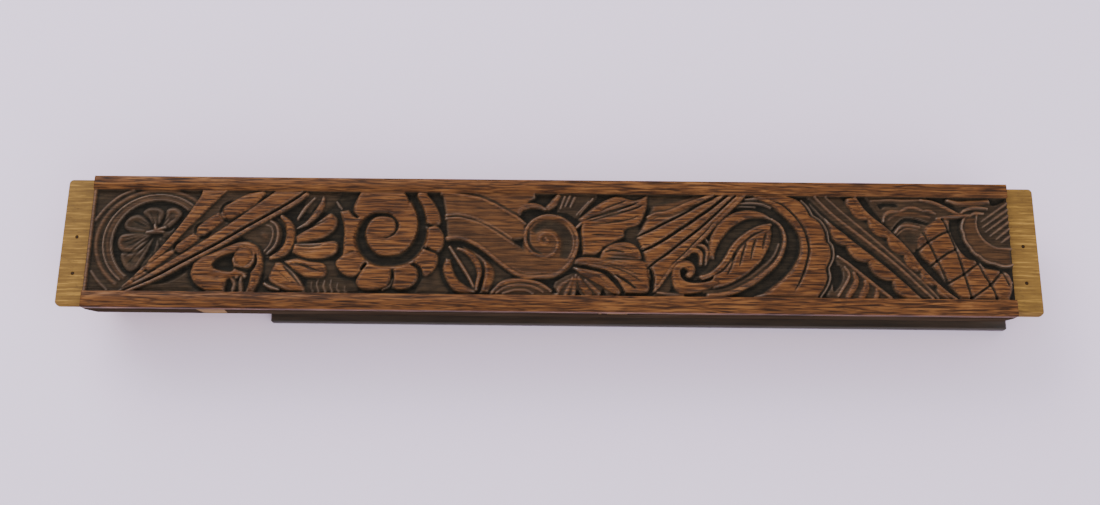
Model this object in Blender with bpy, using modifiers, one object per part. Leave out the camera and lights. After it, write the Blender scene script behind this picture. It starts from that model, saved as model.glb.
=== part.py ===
"""Folding rule: five boxwood leaves on riveted spring joints, one metre long when straight.

The first leaf carries a mounting plate, a carved oak cover and two thin side slips.
The last leaf carries a dark back cover.  The model is the closed rule, lying on its
back cover.  Metres, +Z up, X along the rule; the origin is the middle of its base box.
"""
import math

import bmesh
import bpy
from mathutils import Matrix, Vector

# Driving dimensions --------------------------------------------------------------------
RULE_LENGTH = 1.0            # all five leaves straight
GAP = 0.0003                 # between pieces that rest on each other
SNUG = 0.0001                # between a slip or a tip and the wood behind it

BACK_COVER_X = (-0.0695, 0.1144)
BACK_COVER_WIDTH = 0.0331
BACK_COVER_THICK = 0.0022

LEAF_LENGTH = 0.228
LEAF_WIDTH = 0.0286
LEAF_THICK = 0.00195
LEAF_CORNER = 0.008
LEAF_PITCH = LEAF_THICK + GAP
LEAF_COUNT = 5

FIRST_LEAF_LENGTH = 0.234
FIRST_LEAF_WIDTH = 0.0304
FIRST_LEAF_THICK = 0.0026
FIRST_LEAF_CORNER = 0.002
FIRST_LEAF_LIFT = 0.0004     # clears the side slips' lower edges

PLATE_LENGTH = 0.236
PLATE_WIDTH = 0.0316
PLATE_THICK = 0.0012
PLATE_CORNER = 0.0010
PLATE_CHAMFER = 0.0009

COVER_LENGTH = 0.222
COVER_WIDTH = 0.0327
COVER_THICK = 0.0020
FIELD_Y = (-0.0122, 0.0128)  # the carved field between the two rails
FIELD_DEPTH = 0.0006

SLIP_THICK = COVER_WIDTH / 2 - PLATE_WIDTH / 2 - SNUG
SLIP_DROP = 0.0002           # how far a slip reaches below the first leaf

JOINT_PLATE_RADIUS = 0.0090
JOINT_PLATE_THICK = 0.0004
JOINT_POCKET_DEPTH = 0.0007
JOINT_POCKET_ROOM = 0.0003
TONGUE_REACH = 0.0210
TONGUE_HALF_WIDTH = 0.0042
PRONG_REACH = 0.0170         # from the pivot to the two prongs pressed into the wood
PRONG_SPREAD = 0.0022
PRONG_RADIUS = 0.0005
PRONG_LENGTH = 0.0006        # below the plate
WASHER_RADIUS = 0.0050
WASHER_THICK = 0.0003
RIVET_RADIUS = 0.0015
RIVET_BORE = 0.0016
RIVET_HEAD_RADIUS = 0.0030
RIVET_HEAD_THICK = 0.00045
RIVET_HEAD_SUNK = 0.00005
HEAD_POCKET_RADIUS = 0.0033
HEAD_POCKET_DEPTH = 0.00065

TIP_REACH = 0.0090           # how far a brass tip reaches along the leaf
TIP_WALL = 0.0003

PLATE_PIN_X = 0.1146
PLATE_PIN_Y = (0.0013, -0.0078)
PLATE_PIN_RADIUS = 0.00035
PLATE_PIN_HOLE = 0.00045
PLATE_PIN_SUNK = 0.00005
PLATE_PIN_LENGTH = 0.0028

BACK_PIN_X = (-0.0575, 0.0965)
BACK_PIN_Y = 0.0105
BACK_PIN_RADIUS = 0.0006
BACK_PIN_HOLE = 0.0007
BACK_PIN_HEAD_RADIUS = 0.0013
BACK_PIN_HEAD_THICK = 0.0005
BACK_PIN_SUNK = 0.0001
BACK_PIN_LENGTH = 0.0036

SIDES = 20                   # facets round a turned piece or a bore
PIN_SIDES = 8
CORNER_STEPS = 5

# Heights, from the base up -------------------------------------------------------------
BACK_COVER_TOP = BACK_COVER_THICK
LAST_LEAF_Z = BACK_COVER_TOP + GAP
FIRST_LEAF_Z = LAST_LEAF_Z + (LEAF_COUNT - 1) * LEAF_PITCH - GAP + FIRST_LEAF_LIFT
FIRST_LEAF_TOP = FIRST_LEAF_Z + FIRST_LEAF_THICK
PLATE_Z = FIRST_LEAF_TOP + GAP
PLATE_TOP = PLATE_Z + PLATE_THICK
COVER_Z = PLATE_TOP + GAP
COVER_TOP = COVER_Z + COVER_THICK

# The pivots' distance from the middle that makes the straight rule RULE_LENGTH long.
END_SUM = (FIRST_LEAF_LENGTH + LEAF_LENGTH) / 2
PIVOT_X = (RULE_LENGTH - END_SUM) / (2 * (LEAF_COUNT - 1))

PARTS = "folding_rule"
CUTTERS = "cutters"


def leaf_span(number):
    """Lower and upper height of a leaf, counted from 1 at the carved cover."""
    if number == 1:
        return FIRST_LEAF_Z, FIRST_LEAF_TOP
    low = LAST_LEAF_Z + (LEAF_COUNT - number) * LEAF_PITCH
    return low, low + LEAF_THICK


def pivot(number):
    """The joint between leaf `number` and the next: on its axis, midway between them."""
    side = 1 if number % 2 else -1
    upper_low = leaf_span(number)[0]
    lower_top = leaf_span(number + 1)[1]
    return Vector((side * PIVOT_X, 0.0, (upper_low + lower_top) / 2))


# Scene and materials -------------------------------------------------------------------
def start_scene():
    for obj in list(bpy.data.objects):
        bpy.data.objects.remove(obj, do_unlink=True)
    for name in (PARTS, CUTTERS):
        collection = bpy.data.collections.new(name)
        bpy.context.scene.collection.children.link(collection)


def material(name, colour, roughness, metallic=0.0):
    """One Principled material for one sub-part."""
    mat = bpy.data.materials.new(name)
    mat.use_nodes = True
    shader = mat.node_tree.nodes["Principled BSDF"]
    shader.inputs["Base Color"].default_value = (*colour, 1.0)
    shader.inputs["Roughness"].default_value = roughness
    shader.inputs["Metallic"].default_value = metallic
    mat.diffuse_color = (*colour, 1.0)
    return mat


FINISHES = {
    "carved_oak": ((0.16, 0.075, 0.035), 0.45, 0.0),
    "side_slip": ((0.20, 0.15, 0.12), 0.60, 0.0),
    "boxwood": ((0.45, 0.28, 0.10), 0.45, 0.0),
    "dark_back": ((0.035, 0.027, 0.022), 0.50, 0.0),
    "brass": ((0.62, 0.45, 0.18), 0.30, 1.0),
    "steel": ((0.40, 0.40, 0.42), 0.35, 1.0),
}


# Outlines and meshes -------------------------------------------------------------------
def arc(centre, radius, start, end, steps):
    """Points along an arc, its ends included; angles in radians."""
    points = []
    for step in range(steps + 1):
        angle = start + (end - start) * step / steps
        points.append((centre[0] + radius * math.cos(angle), centre[1] + radius * math.sin(angle)))
    return points


def rounded_rectangle(half_length, half_width, radius):
    """A rectangle about the origin with rounded corners."""
    x = half_length - radius
    y = half_width - radius
    quarter = math.pi / 2
    points = []
    for turn, corner in enumerate(((x, y), (-x, y), (-x, -y), (x, -y))):
        points += arc(corner, radius, turn * quarter, (turn + 1) * quarter, CORNER_STEPS)
    return points


def keyhole(grow):
    """A joint plate's outline: a disc on the pivot and a round-ended tongue along +X."""
    radius = JOINT_PLATE_RADIUS + grow
    half = TONGUE_HALF_WIDTH + grow
    reach = TONGUE_REACH - TONGUE_HALF_WIDTH
    open_angle = math.asin(half / radius)
    disc = arc((0.0, 0.0), radius, open_angle, 2 * math.pi - open_angle, 3 * CORNER_STEPS)
    tongue = arc((reach, 0.0), half, -math.pi / 2, math.pi / 2, CORNER_STEPS)
    return disc + tongue


def flipped(points):
    """The outline mirrored from +X to -X, still running the same way round."""
    return [(-x, y) for x, y in reversed(points)]


def flat_mesh(name, points, low, high, centre=(0.0, 0.0)):
    """A flat outline between two heights, as one closed mesh in world coordinates."""
    curve = bpy.data.curves.new(name, "CURVE")
    curve.dimensions = "2D"
    curve.fill_mode = "BOTH"
    curve.extrude = (high - low) / 2
    spline = curve.splines.new("POLY")
    spline.points.add(len(points) - 1)
    for point, (x, y) in zip(spline.points, points):
        point.co = (x, y, 0.0, 1.0)
    spline.use_cyclic_u = True
    outline = bpy.data.objects.new(name, curve)
    outline.location = (centre[0], centre[1], (low + high) / 2)
    bpy.context.scene.collection.objects.link(outline)
    bpy.context.view_layer.update()
    graph = bpy.context.evaluated_depsgraph_get()
    mesh = bpy.data.meshes.new_from_object(outline.evaluated_get(graph))
    mesh.transform(outline.matrix_world)
    bpy.data.objects.remove(outline)
    bpy.data.curves.remove(curve)
    form = bmesh.new()
    form.from_mesh(mesh)
    bmesh.ops.remove_doubles(form, verts=form.verts, dist=1e-6)
    bmesh.ops.recalc_face_normals(form, faces=form.faces)
    # Each cap becomes one face, so that later cuts meet no thin triangles.
    bmesh.ops.dissolve_limit(form, angle_limit=0.01, verts=form.verts, edges=form.edges)
    form.to_mesh(mesh)
    form.free()
    return mesh


def box_form(low, high):
    """A box between two corners, as a bmesh in world coordinates."""
    form = bmesh.new()
    size = Vector(high) - Vector(low)
    middle = (Vector(high) + Vector(low)) / 2
    place = Matrix.Translation(middle) @ Matrix.Diagonal((*size, 1.0))
    bmesh.ops.create_cube(form, size=1.0, matrix=place)
    return form


def add_cylinder(form, centre, radius, low, high, sides=SIDES):
    """Adds an upright capped cylinder to a bmesh."""
    place = Matrix.Translation((centre[0], centre[1], (low + high) / 2))
    bmesh.ops.create_cone(form, cap_ends=True, segments=sides, radius1=radius,
                          radius2=radius, depth=high - low, matrix=place)


def to_mesh(form, name):
    mesh = bpy.data.meshes.new(name)
    form.to_mesh(mesh)
    form.free()
    return mesh


# Parts and cutters ---------------------------------------------------------------------
def add_part(name, mesh, finish, holder, bevel=0.0):
    """Puts a mesh that stands in world coordinates under its body's empty."""
    origin = holder.matrix_world.translation
    mesh.transform(Matrix.Translation(-origin))
    mesh.name = name
    obj = bpy.data.objects.new(name, mesh)
    obj.parent = holder
    obj.data.materials.append(material(name, *FINISHES[finish]))
    bpy.data.collections[PARTS].objects.link(obj)
    if bevel:
        edge = obj.modifiers.new("edges", "BEVEL")
        edge.width = bevel
        edge.segments = 1
        edge.limit_method = "ANGLE"
    return obj


def add_turned(name, profile, finish, holder, sides=SIDES):
    """A turned piece on its holder's axis.  The profile runs down its outer side; one that
    starts off the axis is a ring, and its last point joins its first."""
    form = bmesh.new()
    base = holder.matrix_world.translation.z
    verts = [form.verts.new((radius, 0.0, height - base)) for radius, height in profile]
    for upper, lower in zip(verts, verts[1:]):
        form.edges.new((upper, lower))
    if profile[0][0] > 0.0:
        form.edges.new((verts[-1], verts[0]))
    obj = bpy.data.objects.new(name, to_mesh(form, name))
    obj.parent = holder
    obj.data.materials.append(material(name, *FINISHES[finish]))
    bpy.data.collections[PARTS].objects.link(obj)
    screw = obj.modifiers.new("turning", "SCREW")
    screw.axis = "Z"
    screw.steps = sides
    screw.render_steps = sides
    screw.use_merge_vertices = True
    screw.merge_threshold = 0.00001
    return obj


def add_cutter(name, mesh):
    cutter = bpy.data.objects.new(name, mesh)
    cutter.hide_render = True
    cutter.display_type = "WIRE"
    bpy.data.collections[CUTTERS].objects.link(cutter)
    return cutter


def cut(obj, *cutters, operation="DIFFERENCE"):
    for cutter in cutters:
        boolean = obj.modifiers.new(cutter.name, "BOOLEAN")
        boolean.operation = operation
        boolean.solver = "EXACT"
        boolean.object = cutter


def add_body(name, place, parent=None):
    """An empty on a body's joint axis; the pieces of the body hang from it."""
    empty = bpy.data.objects.new(name, None)
    empty.empty_display_size = 0.01
    bpy.data.collections[PARTS].objects.link(empty)
    if parent:
        empty.parent = parent
        empty.location = Vector(place) - parent.matrix_world.translation
    else:
        empty.location = place
    bpy.context.view_layer.update()
    return empty


# The rule's own pieces -----------------------------------------------------------------
def joint_side(number, leaf):
    """Heights at one leaf of a joint: its face at the joint, its back, the joint plate's
    outer and inner face, and +1 or -1 for the way from the joint into the wood."""
    sign = 1 if leaf == "upper" else -1
    low, high = leaf_span(number if leaf == "upper" else number + 1)
    face, back = (low, high) if leaf == "upper" else (high, low)
    inner = face + sign * (JOINT_POCKET_DEPTH - GAP / 2)
    outer = inner - sign * JOINT_PLATE_THICK
    return face, back, outer, inner, sign


def joint_outline(place, grow):
    """The joint plate's tongue points to the leaf's middle."""
    outline = keyhole(grow)
    return flipped(outline) if place.x > 0 else outline


def prong_form(place, radius, low, high):
    """The two prongs of a joint plate, or the holes they sit in."""
    form = bmesh.new()
    reach = -math.copysign(PRONG_REACH, place.x)
    for side in (-1, 1):
        add_cylinder(form, (place.x + reach, side * PRONG_SPREAD), radius, low, high, PIN_SIDES)
    return form


def joint_cutters(number):
    """The pocket, bore, head pocket and prong holes of one joint, for each of its leaves."""
    place = pivot(number)
    cutters = {}
    for leaf in ("upper", "lower"):
        face, back, _, inner, sign = joint_side(number, leaf)
        name = f"joint_{number}_{leaf}"
        ends = sorted((face - sign * GAP, face + sign * JOINT_POCKET_DEPTH))
        outline = joint_outline(place, JOINT_POCKET_ROOM)
        pocket = flat_mesh(name + "_pocket", outline, *ends, centre=place.xy)
        bore = bmesh.new()
        add_cylinder(bore, place, RIVET_BORE, *sorted((face - sign * GAP, back + sign * GAP)))
        head = bmesh.new()
        ends = sorted((back - sign * HEAD_POCKET_DEPTH, back + sign * GAP))
        add_cylinder(head, place, HEAD_POCKET_RADIUS, *ends)
        ends = sorted((face - sign * GAP, inner + sign * (PRONG_LENGTH + SNUG)))
        holes = prong_form(place, PRONG_RADIUS + SNUG, *ends)
        cutters[leaf] = {
            kind: add_cutter(f"{name}_{kind}", mesh)
            for kind, mesh in (
                ("prong_holes", to_mesh(holes, name + "_prong_holes")),
                ("bore", to_mesh(bore, name + "_bore")),
                ("head", to_mesh(head, name + "_head")),
                ("pocket", pocket),
            )
        }
    return cutters


def add_leaf(number, holder, cutters):
    low, high = leaf_span(number)
    if number == 1:
        outline = rounded_rectangle(FIRST_LEAF_LENGTH / 2, FIRST_LEAF_WIDTH / 2, FIRST_LEAF_CORNER)
    else:
        outline = rounded_rectangle(LEAF_LENGTH / 2, LEAF_WIDTH / 2, LEAF_CORNER)
    name = f"leaf_{number}"
    leaf = add_part(name, flat_mesh(name, outline, low, high), "boxwood", holder)
    cut(leaf, *cutters)
    return leaf


def add_joint_pieces(number, upper, lower, cutters):
    """The rivet, the spring washer and the two joint plates with their prongs."""
    place = pivot(number)
    head_top = leaf_span(number)[1] - RIVET_HEAD_SUNK
    head_low = leaf_span(number + 1)[0] + RIVET_HEAD_SUNK
    edge = RIVET_HEAD_THICK / 4
    crown = RIVET_HEAD_RADIUS - 2 * edge
    profile = [
        (0.0, head_top), (crown, head_top), (RIVET_HEAD_RADIUS, head_top - edge),
        (RIVET_HEAD_RADIUS, head_top - RIVET_HEAD_THICK),
        (RIVET_RADIUS, head_top - RIVET_HEAD_THICK),
        (RIVET_RADIUS, head_low + RIVET_HEAD_THICK),
        (RIVET_HEAD_RADIUS, head_low + RIVET_HEAD_THICK),
        (RIVET_HEAD_RADIUS, head_low + edge), (crown, head_low), (0.0, head_low),
    ]
    axis = add_body(f"axis_{number}", place, upper)
    add_turned(f"rivet_{number}", profile, "brass", axis)

    half = WASHER_THICK / 2
    ring = [
        (RIVET_BORE, place.z + half), (WASHER_RADIUS, place.z + half),
        (WASHER_RADIUS, place.z - half), (RIVET_BORE, place.z - half),
    ]
    add_turned(f"spring_washer_{number}", ring, "steel", axis)

    for leaf, holder in (("upper", upper), ("lower", lower)):
        _, _, outer, inner, sign = joint_side(number, leaf)
        name = f"{leaf}_joint_plate_{number}"
        mesh = flat_mesh(name, joint_outline(place, 0.0), *sorted((outer, inner)), centre=place.xy)
        plate = add_part(name, mesh, "brass", holder)
        ends = sorted(((outer + inner) / 2, inner + sign * PRONG_LENGTH))
        prongs = add_cutter(name + "_prongs", to_mesh(prong_form(place, PRONG_RADIUS, *ends), name))
        cut(plate, cutters[leaf]["bore"])
        cut(plate, prongs, operation="UNION")


def add_tip(name, number, side, holder):
    """A brass cap over a leaf's free end; returns it and the cutter that seats it."""
    low, high = leaf_span(number)
    first = number == 1
    half_length = (FIRST_LEAF_LENGTH if first else LEAF_LENGTH) / 2
    half_width = (FIRST_LEAF_WIDTH if first else LEAF_WIDTH) / 2
    radius = FIRST_LEAF_CORNER if first else LEAF_CORNER
    start = half_length - TIP_REACH
    room = 0.01
    outline = rounded_rectangle(half_length, half_width, radius)
    cap = add_part(name, flat_mesh(name, outline, low, high), "brass", holder)
    inner = rounded_rectangle(half_length - TIP_WALL, half_width - TIP_WALL, radius - TIP_WALL)
    hollow = flat_mesh(name + "_hollow", inner, low + TIP_WALL, high - TIP_WALL)
    hollow = add_cutter(name + "_hollow", hollow)
    keep = sorted((side * start, side * (half_length + room)))
    keeper = box_form((keep[0], -half_width - room, low - room), (keep[1], half_width + room, high + room))
    keeper = add_cutter(name + "_reach", to_mesh(keeper, name + "_reach"))
    cut(cap, hollow)
    cut(cap, keeper, operation="INTERSECT")

    # The leaf's end is thinned to a tongue that fits the cap with a snug gap all round.
    inset = TIP_WALL + SNUG
    tongue = rounded_rectangle(half_length - inset, half_width - inset, radius - inset)
    tongue = add_cutter(name + "_tongue", flat_mesh(name, tongue, low + inset, high - inset))
    seat = sorted((side * (start - SNUG), side * (half_length + room)))
    seat = box_form((seat[0], -half_width - room, low - room), (seat[1], half_width + room, high + room))
    seat = add_cutter(name + "_seat", to_mesh(seat, name + "_seat"))
    cut(seat, tongue)
    return cap, seat


def add_plate_pins(holder):
    """Four thin pins through the plate's bare ends into the first leaf."""
    top = PLATE_TOP - PLATE_PIN_SUNK
    low = top - PLATE_PIN_LENGTH
    holes = bmesh.new()
    places = [(side * PLATE_PIN_X, y) for side in (-1, 1) for y in PLATE_PIN_Y]
    for count, centre in enumerate(places, 1):
        pin = bmesh.new()
        add_cylinder(pin, centre, PLATE_PIN_RADIUS, low, top, PIN_SIDES)
        name = f"plate_pin_{count}"
        add_part(name, to_mesh(pin, name), "steel", holder)
        add_cylinder(holes, centre, PLATE_PIN_HOLE, low - SNUG, top + GAP, PIN_SIDES)
    return add_cutter("plate_pin_holes", to_mesh(holes, "plate_pin_holes"))


def add_back_pins(holder):
    """Headed pins from below that hold the back cover to the last leaf."""
    tail = BACK_PIN_SUNK + BACK_PIN_LENGTH
    neck = BACK_PIN_SUNK + BACK_PIN_HEAD_THICK
    profile = [(0.0, tail), (BACK_PIN_RADIUS, tail), (BACK_PIN_RADIUS, neck),
               (BACK_PIN_HEAD_RADIUS, neck - BACK_PIN_HEAD_THICK / 2),
               (BACK_PIN_HEAD_RADIUS, BACK_PIN_SUNK), (0.0, BACK_PIN_SUNK)]
    shanks = bmesh.new()
    sinks = bmesh.new()
    places = [(x, side * BACK_PIN_Y) for x in BACK_PIN_X for side in (-1, 1)]
    for count, centre in enumerate(places, 1):
        seat = add_body(f"back_pin_place_{count}", (*centre, 0.0), holder)
        add_turned(f"back_cover_pin_{count}", profile, "brass", seat, 2 * PIN_SIDES)
        add_cylinder(shanks, centre, BACK_PIN_HOLE, -GAP, tail + SNUG, PIN_SIDES)
        add_cylinder(sinks, centre, BACK_PIN_HEAD_RADIUS + SNUG, -GAP, neck + SNUG)
    return (add_cutter("back_pin_holes", to_mesh(shanks, "back_pin_holes")),
            add_cutter("back_pin_sinks", to_mesh(sinks, "back_pin_sinks")))


def add_cover_plate(holder):
    low = (-PLATE_LENGTH / 2, -PLATE_WIDTH / 2, PLATE_Z)
    high = (PLATE_LENGTH / 2, PLATE_WIDTH / 2, PLATE_TOP)
    form = box_form(low, high)
    near_edge = [edge for edge in form.edges
                 if all(v.co.y < 0 and v.co.z > PLATE_Z + PLATE_THICK / 2 for v in edge.verts)]
    bmesh.ops.bevel(form, geom=near_edge, offset=PLATE_CHAMFER, segments=1, affect="EDGES")
    plate = add_part("cover_plate", to_mesh(form, "cover_plate"), "boxwood", holder)
    outline = rounded_rectangle(PLATE_LENGTH / 2, PLATE_WIDTH / 2, PLATE_CORNER)
    corners = flat_mesh("plate_outline", outline, PLATE_Z - GAP, PLATE_TOP + GAP)
    cut(plate, add_cutter("plate_outline", corners), operation="INTERSECT")
    return plate


def add_carved_cover(holder):
    """The oak cover: two rails along its edges and a sunk field for the carving."""
    half = COVER_LENGTH / 2
    form = box_form((-half, -COVER_WIDTH / 2, COVER_Z), (half, COVER_WIDTH / 2, COVER_TOP))
    cover = add_part("carved_cover", to_mesh(form, "carved_cover"), "carved_oak", holder)
    field = box_form((-half - GAP, FIELD_Y[0], COVER_TOP - FIELD_DEPTH),
                     (half + GAP, FIELD_Y[1], COVER_TOP + GAP))
    cut(cover, add_cutter("carved_field", to_mesh(field, "carved_field")))
    return cover


def add_slips(holder):
    """Thin slips along the first leaf's sides, under the cover's edges."""
    half = COVER_LENGTH / 2
    outer = COVER_WIDTH / 2
    for name, side in (("near_slip", -1), ("far_slip", 1)):
        span = sorted((side * outer, side * (outer - SLIP_THICK)))
        form = box_form((-half, span[0], FIRST_LEAF_Z - SLIP_DROP), (half, span[1], COVER_Z - GAP))
        add_part(name, to_mesh(form, name), "side_slip", holder)


def add_back_cover(holder, holes):
    half = BACK_COVER_WIDTH / 2
    form = box_form((BACK_COVER_X[0], -half, 0.0), (BACK_COVER_X[1], half, BACK_COVER_TOP))
    cover = add_part("back_cover", to_mesh(form, "back_cover"), "dark_back", holder, bevel=0.0003)
    cut(cover, *holes)
    return cover


def build():
    start_scene()
    bodies = [add_body("body_1", (0.0, 0.0, 0.0))]
    for number in range(1, LEAF_COUNT):
        bodies.append(add_body(f"body_{number + 1}", pivot(number), bodies[-1]))
    first, last = bodies[0], bodies[-1]

    cutters = {number: joint_cutters(number) for number in range(1, LEAF_COUNT)}
    leaves = []
    for number in range(1, LEAF_COUNT + 1):
        own = []
        if number < LEAF_COUNT:
            own += cutters[number]["upper"].values()
        if number > 1:
            own += cutters[number - 1]["lower"].values()
        leaves.append(add_leaf(number, bodies[number - 1], own))
    for number in range(1, LEAF_COUNT):
        add_joint_pieces(number, bodies[number - 1], bodies[number], cutters[number])

    start_tip, start_seat = add_tip("start_tip", 1, -1, first)
    end_seat = add_tip("end_tip", LEAF_COUNT, 1, last)[1]
    pin_holes = add_plate_pins(first)
    back_holes = add_back_pins(last)
    cut(leaves[0], start_seat, pin_holes)
    cut(leaves[-1], end_seat, back_holes[0])
    cut(start_tip, pin_holes)
    cut(add_cover_plate(first), pin_holes)
    add_carved_cover(first)
    add_slips(first)
    add_back_cover(last, back_holes)
    bpy.context.view_layer.update()


build()
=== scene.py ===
"""The folding rule's looks: carved oak cover, boxwood leaves with their scale, brass joints."""
import math

import bpy
import numpy as np
from mathutils import Matrix, Vector


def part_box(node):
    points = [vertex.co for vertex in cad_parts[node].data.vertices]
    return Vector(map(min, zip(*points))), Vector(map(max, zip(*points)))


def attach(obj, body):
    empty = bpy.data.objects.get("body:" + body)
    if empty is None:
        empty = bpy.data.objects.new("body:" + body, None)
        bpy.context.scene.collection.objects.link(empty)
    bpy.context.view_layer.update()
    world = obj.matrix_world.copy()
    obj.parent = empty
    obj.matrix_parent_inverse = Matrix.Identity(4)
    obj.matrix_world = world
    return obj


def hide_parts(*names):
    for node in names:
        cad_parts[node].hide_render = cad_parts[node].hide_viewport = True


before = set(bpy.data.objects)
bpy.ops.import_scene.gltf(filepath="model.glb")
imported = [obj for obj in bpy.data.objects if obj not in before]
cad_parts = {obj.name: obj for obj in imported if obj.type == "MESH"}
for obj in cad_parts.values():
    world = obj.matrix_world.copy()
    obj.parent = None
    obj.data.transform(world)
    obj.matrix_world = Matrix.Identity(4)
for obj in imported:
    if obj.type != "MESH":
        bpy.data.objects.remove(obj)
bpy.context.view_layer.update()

MM = 0.001
SEED = 7


# Materials -----------------------------------------------------------------------------
class Finish:
    """One material's node tree, with short ways to add its nodes."""

    def __init__(self, name):
        self.material = bpy.data.materials.new(name)
        self.material.use_nodes = True
        self.tree = self.material.node_tree
        self.shader = self.tree.nodes["Principled BSDF"]
        self.object_space = self.add("ShaderNodeTexCoord").outputs["Object"]

    def add(self, kind, **settings):
        node = self.tree.nodes.new(kind)
        for key, value in settings.items():
            setattr(node, key, value)
        return node

    def link(self, source, target):
        if hasattr(source, "is_output"):
            self.tree.links.new(source, target)
        elif isinstance(source, (tuple, list)) and target.type == "RGBA":
            target.default_value = (*source, 1.0)
        else:
            target.default_value = source

    def stretched(self, scale, turn=(0.0, 0.0, 0.0)):
        """Object space with its own scale along each axis."""
        mapping = self.add("ShaderNodeMapping")
        self.link(self.object_space, mapping.inputs["Vector"])
        mapping.inputs["Scale"].default_value = scale
        mapping.inputs["Rotation"].default_value = turn
        return mapping.outputs["Vector"]

    def noise(self, place, scale=1.0, detail=3.0, roughness=0.55, distortion=0.0):
        noise = self.add("ShaderNodeTexNoise")
        self.link(place, noise.inputs["Vector"])
        noise.inputs["Scale"].default_value = scale
        noise.inputs["Detail"].default_value = detail
        noise.inputs["Roughness"].default_value = roughness
        noise.inputs["Distortion"].default_value = distortion
        return noise.outputs["Fac"]

    def attribute(self, name):
        return self.add("ShaderNodeAttribute", attribute_name=name).outputs["Fac"]

    def ramp(self, value, *stops):
        """A colour or grey ramp from (position, colour) stops."""
        ramp = self.add("ShaderNodeValToRGB")
        self.link(value, ramp.inputs["Fac"])
        elements = ramp.color_ramp.elements
        while len(elements) < len(stops):
            elements.new(1.0)
        for element, (position, colour) in zip(elements, stops):
            element.position = position
            grey = not isinstance(colour, (tuple, list))
            element.color = (colour, colour, colour, 1.0) if grey else (*colour, 1.0)
        return ramp.outputs["Color"]

    def math(self, operation, first, second=0.0, clamp=False):
        node = self.add("ShaderNodeMath", operation=operation, use_clamp=clamp)
        self.link(first, node.inputs[0])
        self.link(second, node.inputs[1])
        return node.outputs[0]

    def mix(self, share, first, second, blend="MIX"):
        node = self.add("ShaderNodeMix", data_type="RGBA", blend_type=blend)
        self.link(share, node.inputs["Factor"])
        self.link(first, node.inputs["A"])
        self.link(second, node.inputs["B"])
        return node.outputs["Result"]

    def bump(self, height, distance, strength):
        node = self.add("ShaderNodeBump")
        node.inputs["Distance"].default_value = distance
        node.inputs["Strength"].default_value = strength
        self.link(height, node.inputs["Height"])
        return node.outputs["Normal"]

    def surface(self, colour=None, roughness=None, normal=None, **constants):
        for socket, source in (("Base Color", colour), ("Roughness", roughness), ("Normal", normal)):
            if source is not None:
                self.link(source, self.shader.inputs[socket])
        for key, value in constants.items():
            self.shader.inputs[key.replace("_", " ").title().replace("Ior", "IOR")].default_value = value
        return self.material


def oak_finish(name, carved):
    """Stained oak: streaks of dark grain, long pores, and a stain that deepens with the cut, plus
    painted shade in its crevices and beside deep cuts; ridge crests are lightened partly by wear and
    partly as a painted highlight.
    """
    f = Finish(name)
    bands = f.noise(f.stretched((130.0, 2000.0, 1500.0), (0.0, 0.0, 0.02)), 1.0, 3.0, 0.5, 0.6)
    pores = f.noise(f.stretched((260.0, 3400.0, 2600.0)), 1.0, 2.0, 0.5)
    cloud = f.noise(f.stretched((16.0, 70.0, 70.0)), 1.0, 3.0, 0.55)
    wood = f.ramp(bands, (0.36, (0.026, 0.0090, 0.0028)), (0.45, (0.072, 0.0248, 0.0068)),
                  (0.54, (0.124, 0.0445, 0.0120)), (0.66, (0.185, 0.0750, 0.0220)))
    wood = f.mix(0.6, wood, f.ramp(cloud, (0.32, (0.62, 0.56, 0.52)), (0.68, (1.25, 1.30, 1.35))),
                 "MULTIPLY")
    wood = f.mix(f.ramp(pores, (0.56, 0.0), (0.66, 0.65)), wood, (0.018, 0.0065, 0.0026))
    rough = f.ramp(bands, (0.4, 0.55), (0.6, 0.42))
    shine = 0.16
    if carved:
        # stain_and_shade: dark wax stain that deepens with the cut, plus painted shade in narrow
        # crevices and beside deep cuts.
        stain_and_shade = f.attribute("stain_and_shade")
        crest_wear_and_highlight = f.attribute("crest_wear_and_highlight")
        dark = f.ramp(stain_and_shade, (0.15, (0.066, 0.0270, 0.0095)), (0.45, (0.0330, 0.0168, 0.0075)),
                      (0.75, (0.0195, 0.0128, 0.0068)), (1.0, (0.0085, 0.0068, 0.0044)))
        mottle = f.noise(f.stretched((330.0, 520.0, 300.0)), 1.0, 3.0, 0.6)
        dark = f.mix(0.6, dark, f.ramp(mottle, (0.35, 0.55), (0.65, 1.45)), "MULTIPLY")
        streaked = f.mix(0.5, dark, f.ramp(bands, (0.38, 0.45), (0.62, 1.45)), "MULTIPLY")
        wood = f.mix(f.ramp(stain_and_shade, (0.08, 0.0), (0.45, 1.0)), wood, streaked)
        # Painted highlight: ridge crests lightened toward pale brown, partly rubbed wear and partly a
        # painted highlight standing in for glints.
        wood = f.mix(f.math("MULTIPLY", crest_wear_and_highlight, 0.6), wood, (0.140, 0.072, 0.036))
        rough = f.mix(stain_and_shade, rough, (0.8, 0.8, 0.8))
        rough = f.mix(crest_wear_and_highlight, rough, (0.30, 0.30, 0.30))
        shine = f.ramp(crest_wear_and_highlight, (0.0, 0.14), (1.0, 0.75))
    height = f.math("SUBTRACT", f.ramp(bands, (0.38, 0.0), (0.55, 0.6)),
                    f.ramp(pores, (0.56, 0.0), (0.66, 0.6)))
    f.link(shine, f.shader.inputs["Specular IOR Level"])
    return f.surface(wood, rough, f.bump(height, 0.00010, 0.6))


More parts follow.
